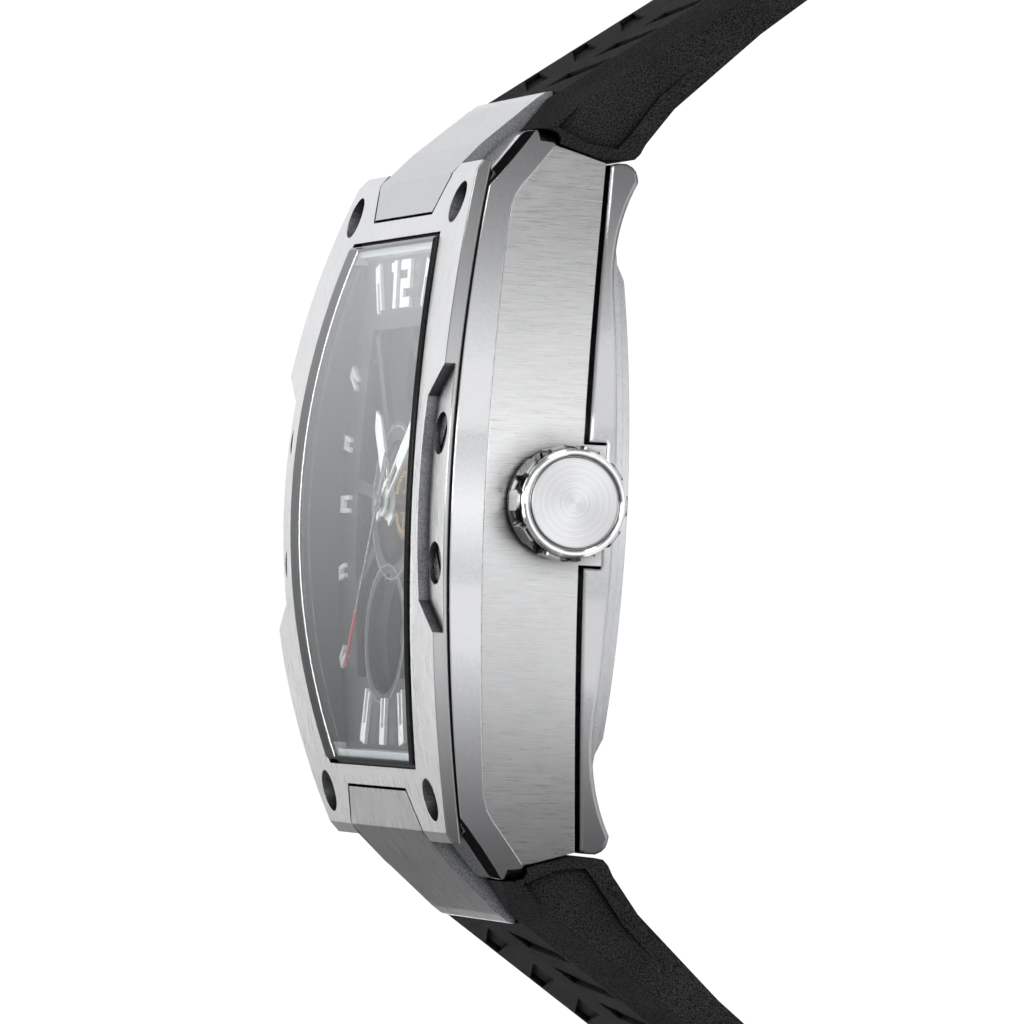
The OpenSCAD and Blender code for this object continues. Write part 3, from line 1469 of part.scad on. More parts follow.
// Front view of the strap: wide at the case and narrower at the buckle
module strap_front() {
  root_w = sqrt(pow(side_r, 2) - pow(band_half_len - 0.6, 2)) - side_r + case_half_w - 0.15;
  polygon([[-root_w, z_top], [root_w, z_top], [root_w, 0], [strap_end_w / 2, -25],
           [strap_end_w / 2, -80], [-strap_end_w / 2, -80], [-strap_end_w / 2, -25], [-root_w, 0]]);
}

// Points along the strap's curve at one radius, between two angles
function curve_points(r, a0, a1) =
  [for (i = [0 : curve_steps]) arc_centre + polar(r, a0 + (a1 - a0) * i / curve_steps)];

// Side view of one half of the strap: thick at the case, thinning, curved, then flat
module strap_profile(flat_len, flat_t) {
  polygon(concat(
    [[band_half_len + root_face_gap, tip_z - 0.2], [band_half_len + 0.47, tip_z - 0.27],
     [band_half_len + 0.87, tip_z - 0.05], [band_half_len + lug_reach + 0.06, tip_z + 0.5],
     [band_half_len + lug_reach + 0.13, tip_z + 1.25], strap_root],
    curve_points(strap_r + strap_t / 2, 90 - strap_slope, -90),
    [[arc_centre.x - flat_len, strap_floor], [arc_centre.x - flat_len, strap_floor + flat_t],
     [arc_centre.x - 1.5, strap_floor + flat_t]],
    curve_points(strap_r - strap_t / 2, -90, 90 - strap_slope),
    [[33.5, -9.05], [27.8, -2.75], [25.2, -0.72], [24.5, -0.35], [24.1, 0.05], [24, 0.7],
     [back_end_y + root_face_gap + 0.25, back_end_z + 0.4]]
  ));
}

// Material outside one sloping shoulder, which runs out where the strap curves away
module shoulder_cut() {
  w = 6;
  translate([0, strap_root.x, strap_root.y]) rotate([-strap_slope, 0, 0])
    translate([0, strap_straight + 9, 0]) rotate([90, 0, 0]) linear_extrude(strap_straight + 17)
      polygon([[flat_face_half_w, 0], [flat_face_half_w + w, -strap_shoulder / (panel_x - flat_face_half_w) * w],
               [flat_face_half_w + w, 4], [flat_face_half_w, 4]]);
}

// Slanting grooves in the outer face beside the middle of the strap
module slash_cuts() {
  translate([0, strap_root.x, strap_root.y]) rotate([-strap_slope, 0, 0])
    for (i = [0 : 3]) translate([2.2, 2.4 + 4.2 * i, -0.35]) linear_extrude(2)
      polygon([[0, 0], [6.2, 2.2], [6.2, 3.4], [0, 2]]);
}

module strap_body(flat_len, flat_t) {
  difference() {
    intersection() {
      rotate([90, 0, 0]) linear_extrude(200, center = true) strap_front();
      across(3 * case_half_w) strap_profile(flat_len, flat_t);
    }
    both_sides() shoulder_cut();
    both_sides() slash_cuts();
    // Sunk panels in the sides
    both_sides() translate([panel_x + 2, 0, 0]) rotate([90, 0, 90]) linear_extrude(4, center = true)
      polygon([[26, 5.7], [28.6, 3.2], [33.1, -3], [33.25, -3.5], [31.85, -4.85], [31.3, -4.6],
               [28.5, -1.6], [25.7, 0.5], [24.75, 1.3], [25, 3.4]]);
    across(2 * hood_half_mid + 0.6) above_hood(0.1);
  }
  strap_tongue();
}

// Tongue in the slot of the case, held by the cross bar
module strap_tongue() {
  difference() {
    across(2 * tongue_half_w) polygon([
      [cavity_half_len + 2.1, z_band + 0.6], [band_half_len + 0.5, z_band + 0.6],
      [band_half_len + 0.5, tip_z - 0.5], [band_half_len - 0.2, tip_z - 0.3],
      [cavity_half_len + 3.6, shoulder_z - 1.7], [cavity_half_len + 2.1, shoulder_z - 1.1]
    ]);
    strap_bar_hole();
  }
}

module strap_top() {
  color([0.12, 0.12, 0.12]) difference() {
    strap_body(4.1, strap_t);
    // Bevelled end round the bar
    for (s = [-1, 1]) translate([0, bar_y - 1.9, bar_z + s * 1.9]) rotate([45, 0, 0])
      cube([2 * strap_end_w, 1.7, 1.7], center = true);
    translate([0, bar_y, bar_z]) rotate([0, 90, 0])
      cylinder(r = bar_d / 2 + fit, h = 60, center = true);
    translate([-1.6, bar_y - 3, strap_floor - 1]) cube([3.2, 6.8, strap_t + 2]);
  }
}

module strap_bottom() {
  color([0.12, 0.12, 0.12]) mirror([0, 1, 0]) difference() {
    strap_body(tail_len, strap_t - 0.4);
    for (i = [0 : 3]) translate([0, arc_centre.x - tail_len + 6 + hole_pitch * i, strap_floor - 1])
      cylinder(r = hole_d / 2, h = strap_t + 2);
    for (s = [-1, 1]) translate([s * strap_end_w / 2, arc_centre.x - tail_len, strap_floor - 1])
      rotate([0, 0, 45]) cube([8, 8, 3 * strap_t], center = true);
  }
}

// Loop round the strap, centred on an angle before the flat end
module strap_loop(angle) {
  r_in = strap_r - strap_t / 2 - 0.25;
  r_out = strap_r + strap_t / 2 + 0.25;
  half = atan(loop_w / 2 / strap_r);
  translate([0, arc_centre.x, arc_centre.y]) rotate([90, 0, 90])
    rotate([0, 0, -90 + angle - half]) rotate_extrude_sector(2 * half, r_in, r_out);
}

module rotate_extrude_sector(a, r_in, r_out) {
  w = strap_end_w / 2 + 0.25;
  rotate_extrude(angle = a, $fn = arc_fn) difference() {
    translate([r_in - loop_t, -w - loop_t]) square([r_out - r_in + 2 * loop_t, 2 * w + 2 * loop_t]);
    translate([r_in, -w]) square([r_out - r_in, 2 * w]);
  }
}

module loop_fixed() {
  color([0.12, 0.12, 0.12]) strap_loop(26);
}

module loop_sliding() {
  color([0.12, 0.12, 0.12]) strap_loop(42);
}

module buckle_frame() {
  half_w = strap_end_w / 2 + 0.3;
  out_w = half_w + buckle_arm;
  color("silver") translate([0, bar_y, bar_z]) difference() {
    union() {
      translate([0, 0, -buckle_t / 2]) linear_extrude(buckle_t) polygon([
        [-out_w, 0], [-out_w, 3.5 - buckle_len], [-out_w + 1, 1.4 - buckle_len], [-out_w + 3.4, -buckle_len],
        [out_w - 3.4, -buckle_len], [out_w - 1, 1.4 - buckle_len], [out_w, 3.5 - buckle_len], [out_w, 0]
      ]);
      rotate([0, 90, 0]) cylinder(r = buckle_t / 2 + 0.2, h = 2 * out_w, center = true);
    }
    translate([0, 0, -5]) linear_extrude(10) polygon([
      [-half_w, 5], [-half_w, 4.4 - buckle_len], [-half_w + 1.8, 2.6 - buckle_len],
      [half_w - 1.8, 2.6 - buckle_len], [half_w, 4.4 - buckle_len], [half_w, 5]
    ]);
    rotate([0, 90, 0]) cylinder(r = bar_d / 2 + run, h = 60, center = true);
  }
}

module buckle_bar() {
  color("silver") translate([0, bar_y, bar_z]) rotate([0, 90, 0])
    cylinder(r = bar_d / 2, h = strap_end_w + 0.6 + 2 * buckle_arm - 0.2, center = true);
}

module buckle_tang() {
  color("silver") translate([0, bar_y, bar_z]) {
    difference() {
      union() {
        rotate([0, 90, 0]) cylinder(r = 1.25, h = 2.6, center = true);
        translate([-0.8, -buckle_len + 0.6, buckle_t / 2 + 0.06]) cube([1.6, buckle_len - 2.6, 0.9]);
        translate([-0.8, -2.2, 0.2]) cube([1.6, 1.9, buckle_t / 2 + 0.76]);
      }
      rotate([0, 90, 0]) cylinder(r = bar_d / 2 + run, h = 60, center = true);
    }
  }
}

mid_case();
front_frame();
rear_frame();
bezel();
bezel_gasket();
crystal();
crystal_gasket();
bezel_screws();
hood_top();
hood_bottom();
hood_screws();
flange();
dial();
dial_indices();
hour_hand();
minute_hand();
seconds_hand();
mainplate();
movement_ring();
barrel_bridge();
train_bridge();
balance_cock();
pallet_bridge();
barrel();
mainspring();
ratchet_wheel();
crown_wheel();
second_wheel();
third_wheel();
fourth_wheel();
escape_wheel();
pallet_fork();
balance_wheel();
hairspring();
cannon_pinion();
minute_wheel();
hour_wheel();
jewels();
movement_screws();
winding_pinion();
winding_stem();
crown();
crown_tube();
crown_gasket();
rotor();
rotor_bearing();
caseback();
caseback_crystal();
caseback_gasket();
caseback_screws();
strap_top();
strap_bottom();
strap_bars();
loop_fixed();
loop_sliding();
buckle_frame();
buckle_tang();
buckle_bar();
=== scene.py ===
# A barrel-shaped skeleton wristwatch with a brushed and polished steel case, an open-worked
# movement under a black dial, and a black rubber strap with a pin buckle, standing unbuckled.
# The steel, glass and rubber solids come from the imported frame. This script gives each its
# finish, in the order in which a watchmaker builds the case up, and adds the small trim.

import math

import bmesh
import bpy
from mathutils import Matrix, Vector


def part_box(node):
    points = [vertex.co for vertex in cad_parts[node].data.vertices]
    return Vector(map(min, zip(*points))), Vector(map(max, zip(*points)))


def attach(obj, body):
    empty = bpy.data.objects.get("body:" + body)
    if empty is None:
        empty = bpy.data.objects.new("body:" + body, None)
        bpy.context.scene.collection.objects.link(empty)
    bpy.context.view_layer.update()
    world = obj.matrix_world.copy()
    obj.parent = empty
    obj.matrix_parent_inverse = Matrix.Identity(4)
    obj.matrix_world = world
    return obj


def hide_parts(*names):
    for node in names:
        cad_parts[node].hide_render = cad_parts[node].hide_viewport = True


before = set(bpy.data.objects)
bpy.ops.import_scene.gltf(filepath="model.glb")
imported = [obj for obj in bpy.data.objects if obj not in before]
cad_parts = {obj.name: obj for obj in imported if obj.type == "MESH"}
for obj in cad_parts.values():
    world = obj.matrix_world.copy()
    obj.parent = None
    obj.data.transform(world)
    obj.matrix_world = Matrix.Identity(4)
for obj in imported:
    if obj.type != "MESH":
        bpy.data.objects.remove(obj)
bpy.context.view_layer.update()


# The studio: a white table and sweep, with soft boxes round a watch that is seen from its
# crown side, so that 12 o'clock is at the top of the picture. The table looks pure white to
# the camera and in the steel, and still takes the watch's shadow.
def linear(code):
    """A colour written in sRGB hex, such as "c8c9cb", as linear red, green, blue, alpha."""
    parts = [int(code[i : i + 2], 16) / 255 for i in (0, 2, 4)]
    return [p / 12.92 if p <= 0.04045 else ((p + 0.055) / 1.055) ** 2.4 for p in parts] + [1.0]


def add(tree, kind, **settings):
    """Adds one node. A name in small letters is a property. A name with a capital is an input,
    or I and an input's number, and takes a value, a node, or a pair of a node and its output."""
    node = tree.nodes.new(kind)
    for name, value in settings.items():
        if name[0].islower():
            setattr(node, name, value)
            continue
        label = name.replace("_", " ")
        socket = node.inputs[label if label in node.inputs else int(name[1:])]
        if isinstance(value, bpy.types.Node):
            value = (value, 0)
        if isinstance(value, tuple) and isinstance(value[0], bpy.types.Node):
            tree.links.new(value[0].outputs[value[1]], socket)
        else:
            socket.default_value = value
    return node


def new_finish(name):
    """A material without nodes, and its node tree."""
    finish = bpy.data.materials.new(name)
    finish.use_nodes = True
    finish.node_tree.nodes.clear()
    return finish, finish.node_tree


def new_object(name, mesh):
    """An object of that mesh, in the scene."""
    thing = bpy.data.objects.new(name, mesh)
    bpy.context.scene.collection.objects.link(thing)
    return thing


scene = bpy.context.scene
scene.view_settings.view_transform = "Standard"
mm = 0.001
look_at = Vector((0, -0.235, 3.545)) * mm
camera_distance = 534.453 * mm
turn, rise, roll = (math.radians(angle) for angle in (17.5, -1.376, -2.618))
focal_pixels, picture_pixels, sensor_width = 7600.347, 1024, 36
back = Vector((math.cos(turn) * math.cos(rise), math.sin(rise), math.sin(turn) * math.cos(rise)))
right = Vector((0, 1, 0)).cross(back).normalized()
up = back.cross(right)
tilted_right = right * math.cos(roll) - up * math.sin(roll)
tilted_up = right * math.sin(roll) + up * math.cos(roll)
camera_data = bpy.data.cameras.new("camera")
camera_data.sensor_width = sensor_width
camera_data.lens = sensor_width * focal_pixels / picture_pixels
camera_data.clip_start = 0.01
camera_data.clip_end = 20
camera = new_object("camera", camera_data)
place = Matrix((tilted_right, tilted_up, back)).transposed().to_4x4()
place.translation = look_at + back * camera_distance
camera.matrix_world = place
scene.camera = camera

table_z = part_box("strap_bottom")[0][2]
table_reach = 3.0
quarters = ((-1, -1), (1, -1), (1, 1), (-1, 1))
table_mesh = bpy.data.meshes.new("table")
table_mesh.from_pydata(
    [(x * table_reach, y * table_reach, table_z) for x, y in quarters], [], [(0, 1, 2, 3)]
)
new_object("table", table_mesh)
paper, tree = new_finish("white_paper")
path = add(tree, "ShaderNodeLightPath")
seen = add(
    tree, "ShaderNodeMath", operation="MAXIMUM",
    I0=(path, "Is Camera Ray"), I1=(path, "Is Transmission Ray"),
)
part_seen = add(tree, "ShaderNodeMath", operation="MULTIPLY", I0=seen, I1=0.85)
sheet = add(tree, "ShaderNodeBsdfDiffuse", Color=linear("f4f4f4"))
glow = add(tree, "ShaderNodeEmission", Color=linear("ffffff"), Strength=1.0)
both = add(tree, "ShaderNodeMixShader", I0=part_seen, I1=sheet, I2=glow)
add(tree, "ShaderNodeOutputMaterial", Surface=both)
table_mesh.materials.append(paper)

world = bpy.data.worlds.new("studio")
world.use_nodes = True
scene.world = world
tree = world.node_tree
tree.nodes.clear()
air = add(tree, "ShaderNodeBackground", Color=linear("dfe1e4"), Strength=0.42)
add(tree, "ShaderNodeOutputWorld", Surface=air)


def soft_box(name, place, size, power):
    """A soft box of that width and height in metres, turned towards the watch."""
    data = bpy.data.lights.new(name, "AREA")
    data.shape = "RECTANGLE"
    data.size, data.size_y = size
    data.energy = power
    lamp = new_object(name, data)
    lamp.location = place
    lamp.rotation_euler = (-Vector(place)).to_track_quat("-Z", "Y").to_euler()


def card(name, corners, shades, axis, ends):
    """A flat card between four corners in millimetres, seen only in glossy surfaces. It glows
    from the first shade to the second, between two places along an axis."""
    sheet = bpy.data.meshes.new(name)
    sheet.from_pydata([[c * mm for c in corner] for corner in corners], [], [(0, 1, 2, 3)])
    board = new_object(name, sheet)
    finish, tree = new_finish(name)
    where = add(tree, "ShaderNodeTexCoord")
    parts = add(tree, "ShaderNodeSeparateXYZ", Vector=(where, "Object"))
    level = add(
        tree, "ShaderNodeMapRange", interpolation_type="SMOOTHSTEP", Value=(parts, axis),
        From_Min=ends[0] * mm, From_Max=ends[1] * mm, To_Min=shades[0], To_Max=shades[1],
    )
    glow = add(tree, "ShaderNodeEmission", Color=linear("f7f8fa"), Strength=level)
    add(tree, "ShaderNodeOutputMaterial", Surface=glow)
    sheet.materials.append(finish)
    board.visible_camera = board.visible_diffuse = board.visible_shadow = False


def mirrored(corners, side):
    """The corners for 12 o'clock, or with side -1 the same for 6 o'clock."""
    return [(x, side * y, z) for x, y, z in corners]


soft_box("dial_box", (-0.5, -0.12, 0.6), (0.45, 0.9), 8.5)
soft_box("crown_box", (0.75, 0.12, 0.25), (0.25, 0.8), 3.7)
soft_box("end_box", (0.35, 0.75, 0.1), (0.3, 0.3), 1.6)
# The card behind the watch is what the crystal mirrors: pale beside 12 o'clock, dark beside 6.
veil = [(-300, -260, -40), (-300, 330, -40), (-300, 330, 300), (-300, -260, 300)]
card("veil_card", veil, (0.12, 1.12), "Y", (-115, 120))
# Two cards in front meet in the long highlight along the middle of the polished steel.
front = [(90, 0, -51), (400, 0, -51), (400, 70, -51), (90, 38, -51)]
card("front_card_high", front, (1.35, 0.95), "Y", (0, 48))
card("front_card_low", mirrored(front, -1), (0.95, 1.35), "Y", (-48, 0))
# Two low flags shade the polished steel towards its ends, from pale at the front to dark behind.
flag = [(-60, 88, -50), (330, 100, -50), (330, 100, -4), (-60, 88, -4)]
card("top_flag", flag, (0.12, 1.08), "X", (-10, 200))
card("bottom_flag", mirrored(flag, -1), (0.08, 1.0), "X", (10, 215))
# Two black strips stand beyond them, for the dark glint on the lug bevels and rounded edges.
strip = [(-190, 260, 40), (20, 260, 40), (20, 260, 170), (-190, 260, 170)]
for name, side in (("top_strip", 1), ("bottom_strip", -1)):
    card(name, mirrored(strip, side), (0.005, 0.01), "X", (-190, 20))


# The case band: one block of stainless steel, milled to the barrel outline. Its sides are
# brushed straight through the thickness of the case with a 240 grit belt, which leaves
# short parallel lines that break the light into soft streaks.
def ramp(tree, value, low, high, start=0.3, end=0.7):
    """A value that runs from start to end, taken to low to high and held beyond them."""
    return add(
        tree, "ShaderNodeMapRange", Value=value, From_Min=start, From_Max=end, To_Min=low,
        To_Max=high,
    )


def speckle(tree, where, grain, **settings):
    """Noise with grains about that many millimetres across."""
    return add(
        tree, "ShaderNodeTexNoise", Vector=(where, "Object"), Scale=1 / (grain * mm), **settings
    )


def toned(tree, tone, level):
    """A tone in sRGB hex, times a level."""
    return add(tree, "ShaderNodeVectorMath", operation="SCALE", I0=linear(tone)[:3], Scale=level)


def grey(tree, level):
    """A grey of that linear level."""
    return add(tree, "ShaderNodeCombineXYZ", X=level, Y=level, Z=level)


def product(tree, first, second):
    """One level times another."""
    return add(tree, "ShaderNodeMath", operation="MULTIPLY", I0=first, I1=second)


def surface(tree, colour, gloss, normal, metallic=1.0):
    """A steel surface, or with metallic 0 a painted one."""
    return add(
        tree, "ShaderNodeBsdfPrincipled", Base_Color=colour, Metallic=metallic, Roughness=gloss,
        Normal=normal,
    )


def relief(tree, height, strength, depth, **under):
    """The normal of a surface whose height varies by that depth in millimetres."""
    return add(
        tree, "ShaderNodeBump", Height=height, Strength=strength, Distance=depth * mm, **under
    )


def rounded_edges(tree, radius):
    """The normal of a surface whose corners are broken by that radius in millimetres."""
    return add(tree, "ShaderNodeBevel", samples=4, Radius=radius * mm)


def painted_crease_shade(tree, colour, reach=0.7, darkest=0.1):
    """The colour, with painted shade darkening it in seams and next to other surfaces, up to
    reach millimetres off.
    """
    hollow = add(tree, "ShaderNodeAmbientOcclusion", samples=5, Distance=reach * mm)
    crease_shade = ramp(tree, (hollow, "AO"), darkest, 1.0, 0.35, 0.93)
    return add(tree, "ShaderNodeVectorMath", operation="SCALE", I0=colour, Scale=crease_shade)


def polished_part(tree, cloud, crease):
    """The shader of a part of a brushed piece that is polished."""
    colour = painted_crease_shade(tree, grey(tree, ramp(tree, cloud, 0.5, 0.54)), crease)
    return surface(tree, colour, ramp(tree, cloud, 0.12, 0.2), rounded_edges(tree, 0.15))


def blasted_part(tree, where, edges):
    """The shader of a part of a brushed piece that is bead blasted dark."""
    pits = speckle(tree, where, 0.11, Detail=2.0, Roughness=0.7)
    colour = painted_crease_shade(tree, toned(tree, "7b7c7f", ramp(tree, pits, 0.45, 1.5, 0.3, 0.72)))
    bump = relief(tree, pits, 0.7, 0.03, Normal=edges)
    return surface(tree, colour, ramp(tree, pits, 0.42, 0.6), bump)


def brushed_steel(
    name, along, tone, line=0.09, depth=0.12, rough=0.3, contrast=0.05, crease=0.7,
    blasted_where=None, polished_where=None,
):
    """Brushed steel with lines along the named axes, line millimetres apart. The last two may
    add nodes that give 1 where the steel is bead blasted dark or polished instead."""
    finish, tree = new_finish(name)
    where = add(tree, "ShaderNodeTexCoord")
    across, lengthwise = 1 / (line * mm), 1 / (line * 30 * mm)
    scale = [lengthwise if axis in along else across for axis in "xyz"]
    stretch = add(tree, "ShaderNodeMapping", Vector=(where, "Object"), Scale=scale)
    lines = add(
        tree, "ShaderNodeTexNoise", Vector=stretch, Scale=1.0, Detail=3.0, Roughness=0.65
    )
    cloud = speckle(tree, where, 9, Detail=1.0)
    shade = ramp(tree, lines, 1 - contrast, 1 + contrast, 0.25, 0.75)
    level = product(tree, shade, ramp(tree, cloud, 0.97, 1.03))
    colour = painted_crease_shade(tree, toned(tree, tone, level), crease)
    edges = rounded_edges(tree, 0.08)
    bump = relief(tree, lines, depth, 0.01, Normal=edges)
    shader = surface(tree, colour, ramp(tree, lines, rough - 0.06, rough + 0.08), bump)
    if polished_where is not None:
        mask, other = polished_where(tree, where), polished_part(tree, cloud, crease)
        shader = add(tree, "ShaderNodeMixShader", I0=mask, I1=shader, I2=other)
    if blasted_where is not None:
        mask, other = blasted_where(tree, where), blasted_part(tree, where, edges)
        shader = add(tree, "ShaderNodeMixShader", I0=mask, I1=shader, I2=other)
    add(tree, "ShaderNodeOutputMaterial", Surface=shader)
    return finish


def finish_nodes(material, *names):
    """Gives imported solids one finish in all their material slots."""
    for name in names:
        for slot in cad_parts[name].material_slots:
            slot.material = material


# The band's painted crease shade reaches 2.2 mm, which paints a dark shadow on it round the
# crown.
band_steel = brushed_steel(
    "steel_brushed_through", "z", "cfcfcf", line=0.075, contrast=0.1, crease=2.2
)
finish_nodes(band_steel, "mid_case")


# The front frame and the rear frame: polished steel frames on both sides of the band, with
# their lug tips and horns. Polished on a felt wheel, which leaves a mirror with slight
# waves and hair-fine wiping marks.
def polished_surface(tree, where, tone, rough=0.07, corner=0.14):
    """The shader of polished steel, with corners broken by that many millimetres."""
    waves = speckle(tree, where, 3.5, Detail=0.0)
    marks = speckle(tree, where, 0.25, Detail=4.0)
    colour = painted_crease_shade(tree, toned(tree, tone, ramp(tree, marks, 0.97, 1.02)), 0.6)
    bump = relief(tree, waves, 0.25, 0.02, Normal=rounded_edges(tree, corner))
    return surface(tree, colour, ramp(tree, marks, rough, rough + 0.05, 0.35), bump)


def polished_steel(name, tone, **settings):
    """A material of polished steel alone."""
    finish, tree = new_finish(name)
    where = add(tree, "ShaderNodeTexCoord")
    mirror = polished_surface(tree, where, tone, **settings)
    add(tree, "ShaderNodeOutputMaterial", Surface=mirror)
    return finish


finish_nodes(polished_steel("steel_polished", "dadadb"), "front_frame")
# The rear frame's steel is toned darker than the front frame's, as painted shade.
finish_nodes(polished_steel("steel_polished_rear", "c8c8c9", corner=0.4), "rear_frame")


# The bezel: brushed along the length of the watch with a finer belt, and polished on its
# outer side. The upright walls of its opening, its side recesses and its screw holes are
# left as the blasted ground of the milling, whose dark tone is partly painted shade there.
def corners_mm(name):
    """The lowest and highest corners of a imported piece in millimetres."""
    return [[round(c / mm, 3) for c in corner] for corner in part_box(name)]


# The long sides of the case are arcs round centres this far beyond the middle of the watch
arc_offset = 28
outline_r = corners_mm("mid_case")[1][0] + arc_offset
bezel_end = corners_mm("bezel")[1][1]


def arc_distance(tree, where):
    """The place on the piece, and its distance from the centre of the nearer side's arc."""
    place = add(tree, "ShaderNodeSeparateXYZ", Vector=(where, "Object"))
    side = add(tree, "ShaderNodeMath", operation="ABSOLUTE", I0=(place, "X"))
    shifted = add(tree, "ShaderNodeMath", operation="ADD", I0=side, I1=arc_offset * mm)
    flat = add(tree, "ShaderNodeCombineXYZ", X=shifted, Y=(place, "Y"))
    length = add(tree, "ShaderNodeVectorMath", operation="LENGTH", I0=flat)
    return place, (length, "Value")


def upright_where(tree, where, test, inset):
    """The place, and 1 on upright faces on one side of an arc that far inside the outline."""
    place, distance = arc_distance(tree, where)
    face = add(tree, "ShaderNodeSeparateXYZ", Vector=(where, "Normal"))
    upright = add(tree, "ShaderNodeMath", operation="LESS_THAN", I0=(face, "Z"), I1=0.6)
    near = add(
        tree, "ShaderNodeMath", operation=test, I0=distance, I1=(outline_r - inset) * mm
    )
    return place, product(tree, near, upright)


def shaded_inner_walls(tree, where):
    """1 on the upright walls inside the bezel's outer side and before its two ends."""
    place, inner = upright_where(tree, where, "LESS_THAN", 0.4)
    end = add(tree, "ShaderNodeMath", operation="ABSOLUTE", I0=(place, "Y"))
    before_end = add(
        tree, "ShaderNodeMath", operation="LESS_THAN", I0=end, I1=(bezel_end - 1.2) * mm
    )
    return product(tree, inner, before_end)


def outer_side(tree, where):
    """1 on the bezel's outer side."""
    return upright_where(tree, where, "GREATER_THAN", 0.6)[1]


# The blasted walls' dark tone is partly painted shade in the bezel's recesses.
bezel_steel = brushed_steel(
    "steel_brushed_lengthwise", "yz", "d4d4d4", line=0.07, depth=0.1, contrast=0.08,
    blasted_where=shaded_inner_walls, polished_where=outer_side,
)
finish_nodes(bezel_steel, "bezel")
screw_steel = brushed_steel("steel_turned_screw", "x", "9c9c9e", line=0.05, rough=0.22)
finish_nodes(screw_steel, "bezel_screws", "hood_screws", "caseback_screws")


# The hoods: bent steel covers over the strap's roots, brushed along the watch on top and
# bead blasted on their sloping sides. The case back has the same brushing.
def sloping_sides(tree, where):
    """1 on faces that lean to the left or right."""
    face = add(tree, "ShaderNodeSeparateXYZ", Vector=(where, "Normal"))
    sideways = add(tree, "ShaderNodeMath", operation="ABSOLUTE", I0=(face, "X"))
    return add(tree, "ShaderNodeMath", operation="GREATER_THAN", I0=sideways, I1=0.35)


hood_steel = brushed_steel(
    "steel_hood", "yz", "bdbdbe", line=0.07, depth=0.1, rough=0.29, blasted_where=sloping_sides
)
finish_nodes(hood_steel, "hood_top", "hood_bottom")
finish_nodes(brushed_steel("steel_case_back", "y", "c4c5c7", line=0.08), "caseback")


# Gaskets: black nitrile rings between the layers, matt and slightly dusty, which show as
# thin dark lines.
def rubber(name, tone, grain=0.16, depth=0.6, rough=0.55, sheen=0.35, spread=0.5):
    """Rubber with grains that many millimetres wide, whose tone varies by the spread; the pale
    specks are painted glints.
    """
    finish, tree = new_finish(name)
    where = add(tree, "ShaderNodeTexCoord")
    fine = speckle(tree, where, grain, Detail=3.0, Roughness=0.7)
    broad = speckle(tree, where, 6, Detail=2.0)
    # The grain's pale specks are partly painted glints, brightened in the colour instead of the
    # gloss.
    light = ramp(tree, fine, 1 - spread * 0.68, 1 + spread * 2.2, 0.35, 0.75)
    level = product(tree, light, ramp(tree, broad, 0.85, 1.15))
    colour = painted_crease_shade(tree, toned(tree, tone, level), 0.9)
    gloss = ramp(tree, fine, rough - 0.12, rough + 0.2)
    bump = relief(tree, fine, depth, 0.07, Normal=rounded_edges(tree, 0.15))
    gum = surface(tree, colour, gloss, bump, metallic=0.0)
    gum.inputs["Specular IOR Level"].default_value = sheen
    add(tree, "ShaderNodeOutputMaterial", Surface=gum)
    return finish


gasket_rubber = rubber("rubber_gasket", "141415", depth=0.2)
finish_nodes(
    gasket_rubber, "bezel_gasket", "crystal_gasket", "crown_gasket", "caseback_gasket"
)


# The crystals: sapphire, sawn, ground to the arch of the bezel and polished. It reflects
# more than window glass, so at a low angle the dial lies under a pale veil. The front one
# has an upright edge that is fine ground, dark over the black seal, and a polished bevel.
sapphire, tree = new_finish("sapphire_polished")
where = add(tree, "ShaderNodeTexCoord")
smear = speckle(tree, where, 5, Detail=2.0)
gloss = ramp(tree, smear, 0.0, 0.02, 0.4)
stone = add(
    tree, "ShaderNodeBsdfPrincipled", Base_Color=linear("f6f9fa"), IOR=1.77, Roughness=gloss,
    Transmission_Weight=1.0,
)
path = add(tree, "ShaderNodeLightPath")
clear = add(tree, "ShaderNodeBsdfTransparent", Color=linear("f3f6f7"))
both = add(tree, "ShaderNodeMixShader", I0=(path, "Is Shadow Ray"), I1=stone, I2=clear)
add(tree, "ShaderNodeOutputMaterial", Surface=both)
finish_nodes(sapphire, "caseback_crystal")
ground_edge = rubber("sapphire_ground_edge", "1c1d1f", grain=0.1, depth=0.15, rough=0.3)

# The front crystal stands 0.5 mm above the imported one, which is 0.3 mm above the bezel
half_wide, half_long, arch_top = corners_mm("crystal")[1]
side_r = half_wide + arc_offset
arch_r, glass_t, proud, bevel, stations = 72.0, 1.4, 0.5, 0.17, 48


def crystal_ring(height, inset):
    """A closed outline of the crystal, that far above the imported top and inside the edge."""
    ring = []
    for side in (1, -1):
        for k in range(stations + 1):
            y = side * (half_long - inset) * (2 * k / stations - 1)
            x = side * (math.sqrt((side_r - inset) ** 2 - y * y) - arc_offset)
            z = arch_top + height - arch_r + math.sqrt(arch_r**2 - y * y)
            ring.append(Vector((x, y, z)) * mm)
    return ring


def faces_outward(mesh, merge_within=0.0):
    """Turns a closed mesh's faces outward, after points that lie that close are merged."""
    form = bmesh.new()
    form.from_mesh(mesh)
    if merge_within:
        bmesh.ops.remove_doubles(form, verts=form.verts, dist=merge_within)
    bmesh.ops.recalc_face_normals(form, faces=form.faces)
    form.to_mesh(mesh)
    form.free()


